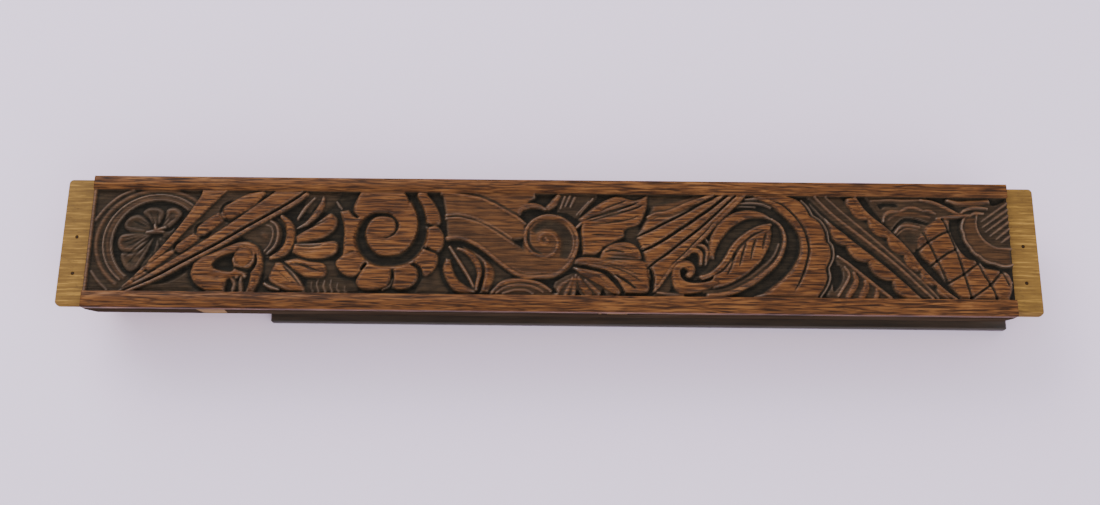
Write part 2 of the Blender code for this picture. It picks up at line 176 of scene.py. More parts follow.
def slip_finish():
    """Thin dark veneer, scuffed along its edges."""
    f = Finish("side_slip_veneer")
    grain = f.noise(f.stretched((45.0, 900.0, 900.0)), 1.0, 4.0, 0.6)
    cloud = f.noise(f.stretched((60.0, 200.0, 200.0)), 1.0, 3.0)
    wood = f.ramp(grain, (0.28, (0.0240, 0.0160, 0.0105)), (0.72, (0.0640, 0.0440, 0.0300)))
    wood = f.mix(f.ramp(cloud, (0.4, 0.0), (0.75, 0.6)), wood, (0.018, 0.012, 0.008))
    return f.surface(wood, f.ramp(grain, (0.3, 0.5), (0.7, 0.66)), f.bump(grain, 0.00005, 0.5),
                     specular_ior_level=0.0)


def boxwood_finish(name, tint, shade, soiling):
    """Pale yellow boxwood with fine lengthwise grain and dark flecks."""
    f = Finish(name)
    broad = f.noise(f.stretched((22.0, 260.0, 260.0)), 1.0, 3.0, 0.6, 0.4)
    fine = f.noise(f.stretched((120.0, 1900.0, 1900.0)), 1.0, 3.0, 0.6)
    fleck = f.noise(f.stretched((700.0, 5200.0, 5200.0)), 1.0, 2.0, 0.5)
    wood = f.ramp(broad, (0.30, shade), (0.70, tint))
    wood = f.mix(0.55, wood, f.ramp(fine, (0.40, shade), (0.60, tint)))
    light = tuple(min(1.0, value * 1.5) for value in tint)
    wood = f.mix(f.ramp(fine, (0.55, 0.0), (0.66, 0.7)), wood, light)
    dark = tuple(value * 0.42 for value in shade)
    wood = f.mix(f.ramp(fleck, (0.64, 0.0), (0.72, 0.6)), wood, dark)
    cloud = f.noise(f.object_space, 85.0, 4.0, 0.6)
    wood = f.mix(f.ramp(cloud, (0.45, 0.0), (0.8, soiling)), wood, dark)
    height = f.math("SUBTRACT", f.math("MULTIPLY", fine, 0.5), f.ramp(fleck, (0.62, 0.0), (0.7, 1.0)))
    return f.surface(wood, f.ramp(fine, (0.3, 0.46), (0.7, 0.6)), f.bump(height, 0.00006, 0.5),
                     specular_ior_level=0.2)


def back_finish():
    """Nearly black stained back cover."""
    f = Finish("dark_back_wood")
    grain = f.noise(f.stretched((60.0, 1300.0, 1300.0)), 1.0, 4.0, 0.6)
    worn = f.noise(f.stretched((25.0, 120.0, 120.0)), 1.0, 3.0)
    wood = f.ramp(grain, (0.3, (0.012, 0.009, 0.008)), (0.75, (0.040, 0.026, 0.019)))
    wood = f.mix(f.ramp(worn, (0.55, 0.0), (0.8, 0.5)), wood, (0.070, 0.040, 0.026))
    return f.surface(wood, f.ramp(grain, (0.3, 0.42), (0.7, 0.6)), f.bump(grain, 0.00006, 0.5),
                     specular_ior_level=0.4)


def metal_finish(name, tint, dull, roughness):
    """Rolled metal with a drawn grain along the rule and dull spots."""
    f = Finish(name)
    drawn = f.noise(f.stretched((180.0, 6000.0, 6000.0)), 1.0, 2.0)
    spots = f.noise(f.object_space, 420.0, 5.0, 0.65)
    spot_mask = f.ramp(spots, (0.48, 0.0), (0.72, 0.85))
    colour = f.mix(spot_mask, f.mix(0.25, tint, f.ramp(drawn, (0.3, dull), (0.7, tint))), dull)
    rough = f.mix(spot_mask, f.ramp(drawn, (0.3, roughness), (0.7, roughness + 0.14)),
                  (0.6, 0.6, 0.6))
    return f.surface(colour, rough, f.bump(drawn, 0.00002, 0.4), metallic=1.0)


# The carving's height map --------------------------------------------------------------
# Millimetres in the cover's own frame: x along it, y across it, height below its rails.
COVER_LOW, COVER_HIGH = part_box("carved_cover")
HALF_LENGTH = COVER_HIGH.x / MM
HALF_WIDTH = COVER_HIGH.y / MM
THICKNESS = (COVER_HIGH.z - COVER_LOW.z) / MM
FIELD = (-12.2, 12.8)
COLUMNS = 861
FIELD_ROWS = 97
FINE = 2                     # samples of the height map for each step of the mesh
GROUND = -1.25               # the bottom of the carving
WALL = 2.1                   # steepness of a cut wall, millimetres down for each across
STEP = 0.25                  # length of the short straights that a curve is made of
DISH_RUN = 1.6               # how far a dished petal takes to reach its full hollow


def smooth(points):
    """A curve through points, as closely spaced points along it."""
    points = np.asarray(points, float)
    if len(points) == 1:
        return points
    if len(points) == 2:
        start, end = points
        count = max(2, int(np.hypot(*(end - start)) / STEP))
        return start + np.linspace(0, 1, count)[:, None] * (end - start)
    before = np.vstack([2 * points[0] - points[1], points[:-1]])
    after = np.vstack([points[1:], 2 * points[-1] - points[-2]])
    slopes = (after - before) / 2
    runs = []
    for start, end, leave, arrive in zip(points, points[1:], slopes, slopes[1:]):
        count = max(2, int(np.hypot(*(end - start)) / STEP))
        t = (np.arange(count) / count)[:, None]
        runs.append((2 * t**3 - 3 * t**2 + 1) * start + (t**3 - 2 * t**2 + t) * leave
                    + (3 * t**2 - 2 * t**3) * end + (t**3 - t**2) * arrive)
    return np.vstack(runs + [points[-1:]])


def oval(centre, across, along, start, end):
    """Part of an oval, between two angles in degrees."""
    steps = max(8, int(math.radians(abs(end - start)) * max(across, along) / STEP))
    angle = np.radians(np.linspace(start, end, steps))
    return np.stack([centre[0] + across * np.cos(angle), centre[1] + along * np.sin(angle)], 1)


def scallops(*notches, bulge=0.35):
    """Round lobes between notches, each standing out to the right of the way they run."""
    runs = []
    for start, end in zip(notches, notches[1:]):
        start, end = np.array(start), np.array(end)
        chord = end - start
        out = np.array([chord[1], -chord[0]]) * bulge
        t = np.linspace(0, 1, max(6, int(np.hypot(*chord) / STEP)))[:-1, None]
        runs.append(start + chord * t + out * 4 * t * (1 - t))
    return np.vstack(runs + [np.array([notches[-1]])])


def as_path(points):
    """Points already on a curve as they are, and a few given points as a smooth curve."""
    return points if isinstance(points, np.ndarray) else smooth(points)


def half_widths(width, share):
    """Half of a width that may change at evenly spaced places along a path."""
    widths = np.atleast_1d(np.asarray(width, float))
    if len(widths) == 1:
        return np.full(share.shape, widths[0] / 2)
    return np.interp(share, np.linspace(0, 1, len(widths)), widths / 2)


def outline(*runs):
    """One closed outline from smooth runs that meet at corners."""
    loop = np.vstack([as_path(run) for run in runs])
    keep = np.hypot(*(loop - np.roll(loop, 1, 0)).T) > 1e-4
    loop = loop[keep]
    return np.vstack([loop, loop[:1]])


class Relief:
    """The carved field: pieces are raised from its ground, then grooves are cut."""

    def __init__(self):
        self.x = np.linspace(-HALF_LENGTH, HALF_LENGTH, FINE * (COLUMNS - 1) + 1)
        self.y = np.linspace(*FIELD, FINE * (FIELD_ROWS - 1) + 1)
        self.height = np.full((len(self.y), len(self.x)), GROUND)

    def window(self, low, high):
        cols = slice(*np.searchsorted(self.x, (low[0], high[0])))
        rows = slice(*np.searchsorted(self.y, (low[1], high[1])))
        return rows, cols

    def trace(self, path, reach):
        """Around a path: the distance to it and the share of its length gone by."""
        rows, cols = self.window(path.min(0) - reach, path.max(0) + reach)
        shape = self.height[rows, cols].shape
        distance = np.full(shape, float(reach))
        share = np.zeros(shape)
        steps = path[1:] - path[:-1]
        lengths = np.hypot(*steps.T)
        along = np.concatenate([[0.0], np.cumsum(lengths)])
        total = max(along[-1], 1e-9)
        for start, step, length, begun in zip(path, steps, lengths, along):
            end = start + step
            r, c = self.window(np.minimum(start, end) - reach, np.maximum(start, end) + reach)
            r = slice(max(r.start, rows.start) - rows.start, min(r.stop, rows.stop) - rows.start)
            c = slice(max(c.start, cols.start) - cols.start, min(c.stop, cols.stop) - cols.start)
            if r.stop <= r.start or c.stop <= c.start or length < 1e-9:
                continue
            x = self.x[cols][c][None, :] - start[0]
            y = self.y[rows][r][:, None] - start[1]
            t = np.clip((x * step[0] + y * step[1]) / length**2, 0.0, 1.0)
            gap = np.hypot(x - t * step[0], y - t * step[1])
            near = gap < distance[r, c]
            distance[r, c][near] = gap[near]
            share[r, c][near] = ((begun + t * length) / total)[near]
        return rows, cols, distance, share

    def inside(self, loop, rows, cols):
        """Which grid points lie inside a closed outline."""
        x = self.x[cols][None, :]
        y = self.y[rows]
        within = np.zeros((len(y), x.shape[1]), bool)
        for (x0, y0), (x1, y1) in zip(loop, loop[1:]):
            if y0 == y1:
                continue
            crossed = np.nonzero((y >= min(y0, y1)) & (y < max(y0, y1)))[0]
            if len(crossed):
                at = x0 + (y[crossed] - y0) * (x1 - x0) / (y1 - y0)
                within[crossed] ^= x < at[:, None]
        return within

    def raise_to(self, rows, cols, depth_in, form, over):
        """Joins a form to the map: depth_in is how far inside its edge a point lies."""
        sunk = np.minimum(depth_in, 0.0) * WALL
        held = self.height[rows, cols]
        self.height[rows, cols] = np.maximum(held, form + sunk)
        if over:
            inner = depth_in > 0
            self.height[rows, cols][inner] = form[inner]

    def swell(self, loop, top=-0.1, drop=0.5, shoulder=0.9, dish=0.0, rim=0.6, over=False):
        """A raised shape with a rounded edge; a dish hollows it inside its rim."""
        reach = max(shoulder, rim + DISH_RUN) + 0.6
        rows, cols, distance, _ = self.trace(loop, reach)
        depth_in = np.where(self.inside(loop, rows, cols), distance, -distance)
        rise = np.clip(depth_in / shoulder, 0.0, 1.0)
        form = top - drop * (1.0 - rise) ** 2
        if dish:
            bowl = np.clip((depth_in - rim) / DISH_RUN, 0.0, 1.0)
            form = form - dish * bowl * bowl * (3 - 2 * bowl)
        self.raise_to(rows, cols, depth_in, form, over)

    def band(self, path, width, top=-0.1, drop=0.4, shoulder=None, over=False):
        """A raised strip along a path; its width may change at evenly spaced places."""
        reach = np.max(width) / 2 + 0.7
        rows, cols, distance, share = self.trace(as_path(path), reach)
        half = half_widths(width, share)
        depth_in = half - distance
        round_in = np.maximum(half if shoulder is None else np.minimum(shoulder, half), 0.05)
        rise = np.clip(depth_in / round_in, 0.0, 1.0)
        form = top - drop * (1.0 - rise) ** 2
        self.raise_to(rows, cols, depth_in, form, over)

    def groove(self, path, width, depth=0.5, fade=True):
        """A gouge cut along a path, running out at its ends."""
        reach = np.max(width) / 2 + 0.05
        rows, cols, distance, share = self.trace(as_path(path), reach)
        half = half_widths(width, share)
        cut = np.clip(1.0 - distance / np.maximum(half, 0.05), 0.0, 1.0)
        if fade:
            cut = cut * np.clip(np.minimum(share, 1 - share) * 8 + 0.25, 0.0, 1.0)
        cut = cut * (2 - cut)
        held = self.height[rows, cols]
        self.height[rows, cols] = np.maximum(held - depth * cut, np.minimum(held, GROUND))

    def hollow(self, loop, floor=-1.2, slope=0.7):
        """Sinks the inside of an outline to a floor, with sloping sides."""
        rows, cols, distance, _ = self.trace(loop, slope + 0.1)
        within = self.inside(loop, rows, cols)
        share = np.where(within, np.clip(distance / slope, 0.0, 1.0), 0.0)
        held = self.height[rows, cols]
        sunk = held + (np.minimum(floor, held) - held) * share * (2 - share)
        self.height[rows, cols] = sunk


def carve_low_ground(r):
    """Places between the leaves that are left a little above the deepest ground."""
    for loop in ([(-101, -12.2), (-98, -10), (-92, -6.6), (-87.4, -4.8), (-86.4, -8), (-85, -11),
                  (-83, -12.2)],
                 [(-60, 12.9), (-59, 8), (-56, 7), (-52.4, 9.4), (-50.4, 12.9)],
                 [(-14, -4), (-11.6, -4.9), (-8.4, -7.6), (-11, -9.4), (-13.8, -11)],
                 [(23.8, 12.9), (24, 9.6), (30, 10.8), (37, 12.9)],
                 [(-68.2, -4.2), (-64.4, -4.4), (-65.6, -8), (-68.2, -9.4)],
                 [(-30.6, -8.6), (-26.8, -5), (-25.6, -8.6), (-24, -12.2), (-32, -12.2)],
                 [(-58.4, -4.4), (-51, -4.6), (-50.4, -8), (-52.8, -9), (-58, -9)],
                 [(16, 12.9), (20, 11.6), (24, 12.9)]):
        r.swell(outline(loop), -0.88, 0.25, 1.3)


def carve_ring_and_shell(r):
    """Left end: a sunk ring of fine ridges round a fluted shell."""
    centre = (-94.6, -0.2)
    r.swell(outline([(-110.2, 12.8), (-84, 12.8), (-84.5, 11.4), (-90, 2.4), (-99, -10),
                     (-101.5, -12.2), (-110.2, -12.2)], [(-110.2, -12.2), (-110.2, 12.8)]),
            -0.95, 0.1, 0.8)
    r.hollow(oval(centre, 11.0, 10.6, 0, 360), -1.4, 1.2)
    for across, along, width, top in ((14.5, 13.0, 1.3, -0.55), (12.8, 11.9, 0.45, -0.42),
                                      (11.7, 11.1, 1.5, -0.62), (10.9, 10.7, 0.4, -0.5)):
        r.band(oval(centre, across, along, 50, 232), width, top, 0.3)
    r.band([(-109.8, 5.2), (-107.6, 8.4), (-104.6, 11.2), (-101.4, 12.8)], 1.0, -0.5, 0.4)
    r.band([(-109.6, -7.5), (-107.6, -10), (-105.4, -12)], (0.6, 1.0, 0.8), -0.6, 0.3)
    r.band([(-110.6, -12.2), (-110.6, 12.8)], 0.8, -0.35, 0.3)
    hub = (-94.8, 2.6)
    for petal, top, flutes in (
            ([(-95.2, 3.4), (-97, 5.6), (-98.6, 7.2), (-97.2, 8.5), (-94.8, 8.4), (-93.4, 7.2),
              (-94, 5)], -0.5, ((-96.8, 7.4), (-95, 7.6))),
            ([(-93.8, 3.6), (-93, 6), (-92.8, 8), (-90.8, 8.5), (-89.2, 7.2), (-90, 5.4),
              (-91.8, 3.6)], -0.38, ((-91.4, 7.2), (-90.6, 6))),
            ([(-95.8, 2.8), (-98, 2.2), (-101.4, 2.4), (-102.9, 4), (-101.8, 6), (-99.6, 6.7),
              (-97.8, 5.6), (-96.4, 4)], -0.5, ((-101, 5.2), (-101.8, 3.8), (-99.2, 5.6))),
            ([(-96, 2), (-99, 2), (-103, 1.6), (-104, -0.4), (-102.8, -2.4), (-99.6, -2.6),
              (-97.4, -0.8)], -0.35, ((-103, 0.6), (-103.2, -0.6), (-102.2, -1.8), (-100, -2))),
            ([(-95.6, 1), (-97.6, -1.4), (-100, -2.8), (-102.8, -3), (-102.4, -5.4),
              (-100.8, -7.3), (-98.8, -6.8), (-97.2, -4.2)], -0.45,
             ((-102, -4), (-101.4, -6), (-99.4, -6.2))),
            ([(-94.6, 1), (-95.6, -2.4), (-98, -6), (-96.8, -7), (-93.6, -3.4), (-92, -0.6),
              (-92.8, 1.4)], -0.72, ((-95.4, -4), (-93.6, -1.8))),
            ([(-93.6, 2.6), (-91.6, 2.8), (-90.6, 3.6), (-91.4, 1.2), (-93.4, 0.6)], -0.7, ())):
        r.swell(outline(petal), top - 0.15, 0.4, 0.9, 0.35, 0.5, over=True)
        for end in flutes:
            r.groove([hub, end], (0.3, 0.7, 0.4), 0.22)
    for end in ((-97.2, 2.2), (-92.8, 3.6), (-95.4, 4), (-93.2, 2.4)):
        r.band([hub, end], (1.1, 0.5), -0.4, 0.35)


def carve_fan(r):
    """Two bands that widen upward, with a row of tapering beads between them."""
    r.swell(outline([(-101.8, -11.4), (-98.4, -7.9), (-94, -2.5), (-90.4, 2.2), (-87.9, 6),
                     (-86, 9.2), (-84.8, 11.4), (-84.4, 12.9)],
                    [(-78.4, 12.9), (-81.4, 9.6), (-84.4, 6.2), (-87.2, 3.2), (-90, -0.2),
                     (-93.4, -4), (-96.4, -7.4), (-99.4, -10.4)]), -0.02, 0.45, 0.5, over=True)
    r.swell(outline([(-99.4, -10.4), (-90, -0.2), (-78.4, 12.9)],
                    [(-67.4, 12.9), (-76, 5.6), (-86, -1.9), (-97, -9.4), (-101, -11.4)]),
            -0.75, 0.1, 0.4)
    beads = (((-98.6, -9.3), (-93.4, -5.6), 1.0, -0.3), ((-95.6, -6.5), (-89.6, -2), 1.9, -0.16),
             ((-88.6, -1.6), (-83.4, 2.6), 2.5, -0.08), ((-83.6, 2.9), (-77.8, 7.6), 3.0, -0.05),
             ((-77.2, 7.6), (-69.8, 12.2), 4.0, -0.03))
    for start, end, width, top in beads:
        r.groove(oval(start, 0.62 * width, 0.62 * width, 0, 360), 0.75, 0.45, False)
        r.band([start, end], (0.94 * width, width, 0.9 * width, 0.35 * width), top, 0.5, 0.8,
               over=True)
    lower = [(-102.4, -12.2), (-97, -9.9), (-93, -7.9), (-89.8, -6), (-85.1, -3.3), (-80.9, -0.9),
             (-77.2, 1.4), (-73.3, 3.9), (-69.3, 6.3), (-65.1, 8.9), (-61.4, 11.4), (-59.6, 12.9)]
    upper = [(-66.6, 12.9), (-70.8, 9.6), (-75.2, 6.1), (-80, 2.5), (-86, -1.7), (-92, -5.7),
             (-97, -9.1)]
    r.swell(outline(lower, upper), -0.05, 0.5, 0.7, over=True)
    r.groove([(x + 0.1, y - 0.05) for x, y in lower[1:]], (0.3, 0.55, 0.6, 0.6), 0.5, False)
    r.band([(x + 0.55, y - 0.75) for x, y in lower], (0.5, 0.8, 0.9, 1.0), -0.06, 0.45, over=True)


def carve_bud(r):
    """A round bud that curls over a ball, with a small star of petals under it."""
    r.swell(outline([(-83.4, -3.9), (-80.4, -2.6), (-77.2, -1.1), (-74.6, -0.1), (-72, 0),
                     (-69.8, -1.3), (-68.6, -3.9), (-68.4, -6.8), (-69, -9.4), (-70.2, -12.2)],
                    [(-72, -12.2), (-71.4, -9.8), (-71.4, -7.4), (-73, -8.2), (-75.6, -8.8),
                     (-76.8, -9.6), (-77.2, -12.2)],
                    [(-81.4, -12.2), (-83.5, -11), (-84.9, -9.6), (-85.6, -7.9), (-85.1, -5.4)]),
            -0.05, 0.6, 1.1)
    r.hollow(outline([(-81, -5.6), (-79.8, -4), (-77.4, -2.8), (-74.8, -2.4), (-75.6, -4.4),
                      (-75, -6.4), (-75.8, -7.6), (-78.4, -7.4), (-80.4, -6.8)]), -1.35, 1.1)
    r.swell(oval((-73.2, -3.6), 2.3, 2.5, 0, 360), -0.05, 0.5, 1.2, over=True)
    r.groove([(-70.3, -3.2), (-70.3, -5.2), (-71.4, -6.8), (-73, -6.9), (-75, -6.4)],
             (0.4, 1.1, 1.6, 1.6, 0.8), 1.0, False)
    r.band([(-74.6, -8.6), (-73.6, -7.6), (-72.6, -8.4)], 0.9, -0.3, 0.4)
    r.band([(-76.8, -7.8), (-75, -10), (-75.2, -11.8)], (0.8, 1.2, 1.0), -0.5, 0.4)
    r.band([(-73.4, -8.6), (-73.5, -10), (-73.2, -12)], (0.7, 1.3, 1.3), -0.5, 0.4)
    r.groove([(-72.3, -8.6), (-72.3, -10.4), (-72.6, -12)], 0.6, 0.4)
    r.groove([(-75.6, -1), (-72.4, -0.9), (-70.4, -2.6), (-69.7, -5)], (0.3, 0.5, 0.3), 0.16)
    r.groove([(-84.2, -8.4), (-81.5, -8.4), (-78.4, -9)], (0.3, 0.6, 0.4), 0.2)


def carve_curl(r):
    """Fine ridges round a small hub, wrapped by a broad C-shaped band."""
    r.swell(outline([(-71.8, 3.6), (-69.4, 5.2), (-66.8, 6.4), (-64, 5.2), (-63, 2.4), (-63.4, -1),
                     (-65.6, -3.2), (-68, -3.6), (-69.4, -1.2), (-72.8, 0.6), (-74.6, 1.6)]),
            -0.85, 0.2, 0.8)
    r.band([(-68.9, 1.9), (-68.3, 1.5)], 2.4, -0.62, 0.35)
    r.band([(-68.4, 4.4), (-67, 3.7), (-66.6, 1.8), (-67.2, -0.6), (-68.4, -2.2)],
           (0.4, 0.6, 0.7, 0.5), -0.5, 0.35)
    r.band([(-67.4, 5.4), (-65.9, 4.2), (-65.3, 1.9), (-65.9, -0.8), (-67.7, -2.8)],
           (0.5, 0.8, 0.9, 0.8, 0.4), -0.38, 0.4)
    r.groove([(-66.9, 6.1), (-65, 4.8), (-64, 2.4), (-64.4, -0.6), (-66.2, -2.6), (-68, -3.2)],
             (0.5, 0.9, 1.1, 1.0, 0.5), 0.6, False)
    r.band([(-64.7, 6.5), (-62.9, 4.6), (-62.2, 1.9), (-62.7, -0.8), (-64.2, -2.7), (-66.6, -3.9)],
           (0.8, 2.0, 2.3, 2.1, 0.9), -0.05, 0.55, 0.9)


def carve_fingers(r):
    """Finger leaves that spread from the curl, hollowed along their upper sides."""
    r.band([(-60.8, 6), (-59.2, 8.6), (-57, 11.2)], (0.6, 1.1, 0.7), -0.42, 0.4)
    r.swell(outline([(-60.9, 3.6), (-58.8, 5.2), (-56.8, 8), (-54.9, 11.9)],
                    [(-54.4, 11), (-54.6, 8.6), (-56.2, 6.3), (-58.4, 4.3)]), -0.12, 0.5, 0.9)
    r.swell(outline([(-61, 1.4), (-58.6, 3.2), (-55.6, 5.3), (-53.4, 7.2), (-52.4, 7.1),
                     (-51.3, 5.8), (-51.5, 3.9), (-53, 2.2), (-55.6, 0.8), (-60.6, -0.1)]),
            -0.06, 0.5, 1.0)
    r.swell(outline([(-61.2, -0.4), (-55.6, -0.1), (-52.2, 0.4), (-50.9, -0.2), (-51, -2.3),
                     (-53, -3.5), (-56.1, -4.1), (-59.3, -3.6), (-61.6, -2.4)]), -0.04, 0.5, 0.9)
    r.swell(outline([(-63.3, -4.7), (-60.4, -4), (-57.4, -4.6), (-53.9, -5.2), (-53, -7),
                     (-53.6, -8.4), (-55.4, -8.7), (-58.3, -8.3), (-60.8, -6.9)]), -0.06, 0.5, 0.9)
    r.swell(outline([(-65.4, -5), (-63.8, -5.2), (-60.4, -8), (-58, -11.2)],
                    [(-58, -12.1), (-62, -11.8), (-65, -10.6), (-66.8, -9), (-66.2, -6.6)]),
            -0.12, 0.5, 0.9)
    for blade, width, depth in (
            ([(-60.6, 2.2), (-57.4, 4), (-53.4, 5.8)], 0.8, 0.5),
            ([(-60.8, -0.8), (-57.8, -1), (-54.4, -0.6)], 0.9, 0.55),
            ([(-60.6, -1.8), (-57.4, -2), (-53.4, -1.6)], 0.5, 0.3),
            ([(-61.2, -5), (-58.4, -5.8), (-54.8, -7.2)], 1.0, 0.55),
            ([(-63.6, -5.8), (-61.2, -8.2), (-59, -10.8)], 0.8, 0.6),
            ([(-65.4, -6.6), (-63, -8.6), (-60.6, -10.8)], 0.5, 0.35),
            ([(-66.4, -8.6), (-63.8, -10.2), (-61, -11.4)], 0.5, 0.35),
            ([(-58.8, 6), (-56.8, 8.6), (-55.4, 10.8)], 0.5, 0.3)):
        r.groove(blade, (0.4 * width, width, 0.3 * width), depth)
    r.band([(-67.8, -10.2), (-66.4, -11), (-64.4, -11.6)], (0.5, 0.9, 0.5), -0.4, 0.3)
    r.swell(outline([(-57.6, -8.6), (-52, -8), (-46, -9.5), (-46.4, -12.2), (-58.4, -12.2)]),
            -0.95, 0.2, 0.9)
    for x, y, top in ((-56.4, -9.4, -0.75), (-55, -9, -0.65), (-53.4, -9.3, -0.6),
                      (-51.8, -9.1, -0.65), (-50.2, -9.8, -0.7), (-48.4, -10.4, -0.75)):
        r.band([(x, y), (x - 0.2, y - 1.4), (x + 0.3, -11.9)], (0.4, 0.8, 0.9), top, 0.35)
    r.band([(-50.3, 8.6), (-51, 9.4), (-51.6, 10.4)], (0.4, 0.7, 0.4), -0.7, 0.3)


def carve_flower(r):
    """The big flower: round lobes, and a channel that spirals into its rolled centre."""
    middle = (-38.2, 1.6)
    lobes = (
        ([(-49.4, -3.2), (-49.4, -0.2), (-49.5, 3.8), (-50.6, 7.9)], [(-48.7, 8.3), (-47.3, 7)]),
        ([(-47.3, 7.1), (-47.4, 9.2), (-46.6, 11.4), (-45.8, 13)], [(-35, 13), (-33.4, 9.3)]),
        ([(-33.4, 11.9), (-31.6, 13), (-29.8, 13)], [(-29.4, 12), (-28.3, 10.8), (-27.2, 9),
         (-26.4, 7.2), (-26.2, 5.6), (-26.8, 4.7), (-28.9, 4.8)]),
        ([(-28.8, 4.3), (-27.3, 4.6), (-26, 3.4), (-25.2, 1.5), (-25.4, -0.5), (-26.3, -1.9),
          (-27.4, -1.8), (-29.4, -0.8)],),
        ([(-29.4, -1.2), (-28.2, -1.9), (-27, -2.4), (-26.5, -3.7), (-26.8, -5.5), (-27.8, -7),
          (-29.2, -8.1), (-30.1, -7.4), (-30.6, -6), (-32.4, -4.6)],),
        ([(-33.4, -4.9), (-31.6, -6.2), (-31.2, -7.7), (-31.5, -9.4), (-33.1, -10.8),
          (-35.6, -11.3), (-37.2, -10.8)], [(-37.2, -6)]),
        ([(-37.6, -6)], [(-37.6, -8.8), (-38.2, -10.4), (-39.8, -11.1), (-42.4, -11.5),
         (-44.6, -11.2), (-45.8, -10.1), (-45.7, -8.7), (-44.4, -6.1)]),
        ([(-44.4, -5.9), (-45.1, -7.3), (-46.6, -8.3), (-48.7, -7.9), (-50.5, -6.4),
          (-51, -4.7), (-49.5, -3)],),
    )
    for runs in lobes:
        r.swell(outline(*runs, [middle]), -0.03, 0.6, 0.8)
    r.swell(oval((-38.4, 1.6), 9.4, 7.8, 0, 360), -0.03, 0.1, 0.6)
    inner = [(-41.6, 1.3), (-39, 1.75), (-37.4, 3.05), (-37.2, 4.6), (-37.9, 5.95), (-39.8, 6.5),
             (-41.6, 6.3), (-42.9, 5.4), (-43.7, 3.8), (-43.9, 2), (-43.3, 0.15), (-42.2, -1.4),
             (-40.6, -2.5), (-38.5, -2.7), (-36.1, -2.3), (-34.4, -1.2), (-33, 0.6), (-32.2, 2.6),
             (-32, 4.8), (-32.3, 7), (-33.2, 9.2), (-34.5, 11.4), (-35.6, 13.2)]
    outer = [(-32.2, 13.2), (-31.4, 11.2), (-30.3, 9.2), (-29.6, 6.8), (-29.2, 4.4), (-29.2, 1.8),
             (-30, -0.9), (-31.5, -3.2), (-33.4, -4.8), (-36, -5.7), (-38.5, -5.95),
             (-40.8, -5.8), (-42.9, -5), (-44.8, -3.5), (-46.2, -1.2), (-46.8, 1.2), (-46.5, 3.3),
             (-45.7, 5.2), (-44.3, 6.8), (-42.4, 7.8), (-40.6, 7.95), (-38.7, 7.7), (-37.2, 6.7),
             (-36.2, 5.2), (-36.2, 3.6), (-37.2, 2), (-39, 1.05)]
    r.hollow(outline(inner, outer), -1.3, 1.15)
    r.groove(outer[3:20], (0.2, 0.7, 0.8, 0.7, 0.2), 0.3)
    for notch in ([(-47.9, 7.7), (-46.6, 6.6)], [(-44.8, -6.4), (-43.9, -5)],
                  [(-37.2, -7), (-37.2, -9), (-38.2, -10.8)], [(-31, -5.9), (-30.4, -7.6),
                  (-31.4, -9.9), (-33, -11.4)], [(-28.7, 4.6), (-29.8, 4.9)],
                  [(-28.6, -1.4), (-30, -1)]):
        r.groove(notch, (0.5, 0.9, 0.7), 0.9, False)
    r.band([(-37.2, -8.8), (-37.9, -10.4), (-39.6, -11.4)], (0.3, 0.5, 0.3), -0.5, 0.3)


def carve_pod(r):
    """Seed pod: narrow leaves that lean to the lower right of the flower."""
    r.swell(outline([(-24.6, -3.6), (-25.3, -6), (-24.5, -8.4), (-23.5, -10.2), (-22.1, -11.5),
                     (-19.4, -12.1), (-17.4, -11.6), (-19.2, -10.5), (-21, -9.3), (-22.3, -7.6),
                     (-23.1, -5.4), (-23.6, -3.8)]), -0.08, 0.55, 0.9)
    r.swell(outline([(-23.8, -0.6), (-21.4, -1), (-18.6, -3.4), (-17.2, -6), (-17.2, -9.6),
                     (-18.4, -9.4), (-20.6, -6.2), (-22.6, -3)]), -1.0, 0.2, 0.6)
    r.band([(-23.8, -0.7), (-22.1, -3.3), (-20.2, -6.2), (-18.9, -8.3), (-17.8, -10.5)],
           (0.4, 0.7, 0.7, 0.5), -0.2, 0.35)
    r.band([(-21.8, -1.1), (-19.7, -1.9), (-18.1, -3.3), (-16.9, -5.1), (-16.5, -7.2),
            (-16.9, -9.3), (-17.2, -11)], (0.5, 1.1, 1.5, 1.4, 0.9, 0.6), -0.05, 0.5, 0.7)
    r.swell(outline([(-20.6, -0.5), (-17.4, -2.1), (-14.9, -3.9), (-13.2, -5.6), (-12.7, -7.6),
                     (-13.3, -9.8), (-14.4, -11.8)], [(-16.2, -11.8), (-15.4, -9.6), (-15.2, -7.2),
                     (-15.8, -4.8), (-17.4, -3), (-19.4, -1.6)]), -0.3, 0.5, 1.0)
    r.band([(-15.1, -4.8), (-14.5, -6.8), (-14.7, -8.8), (-15.4, -11)], (0.6, 1.3, 1.3, 0.8),
           -0.08, 0.35)


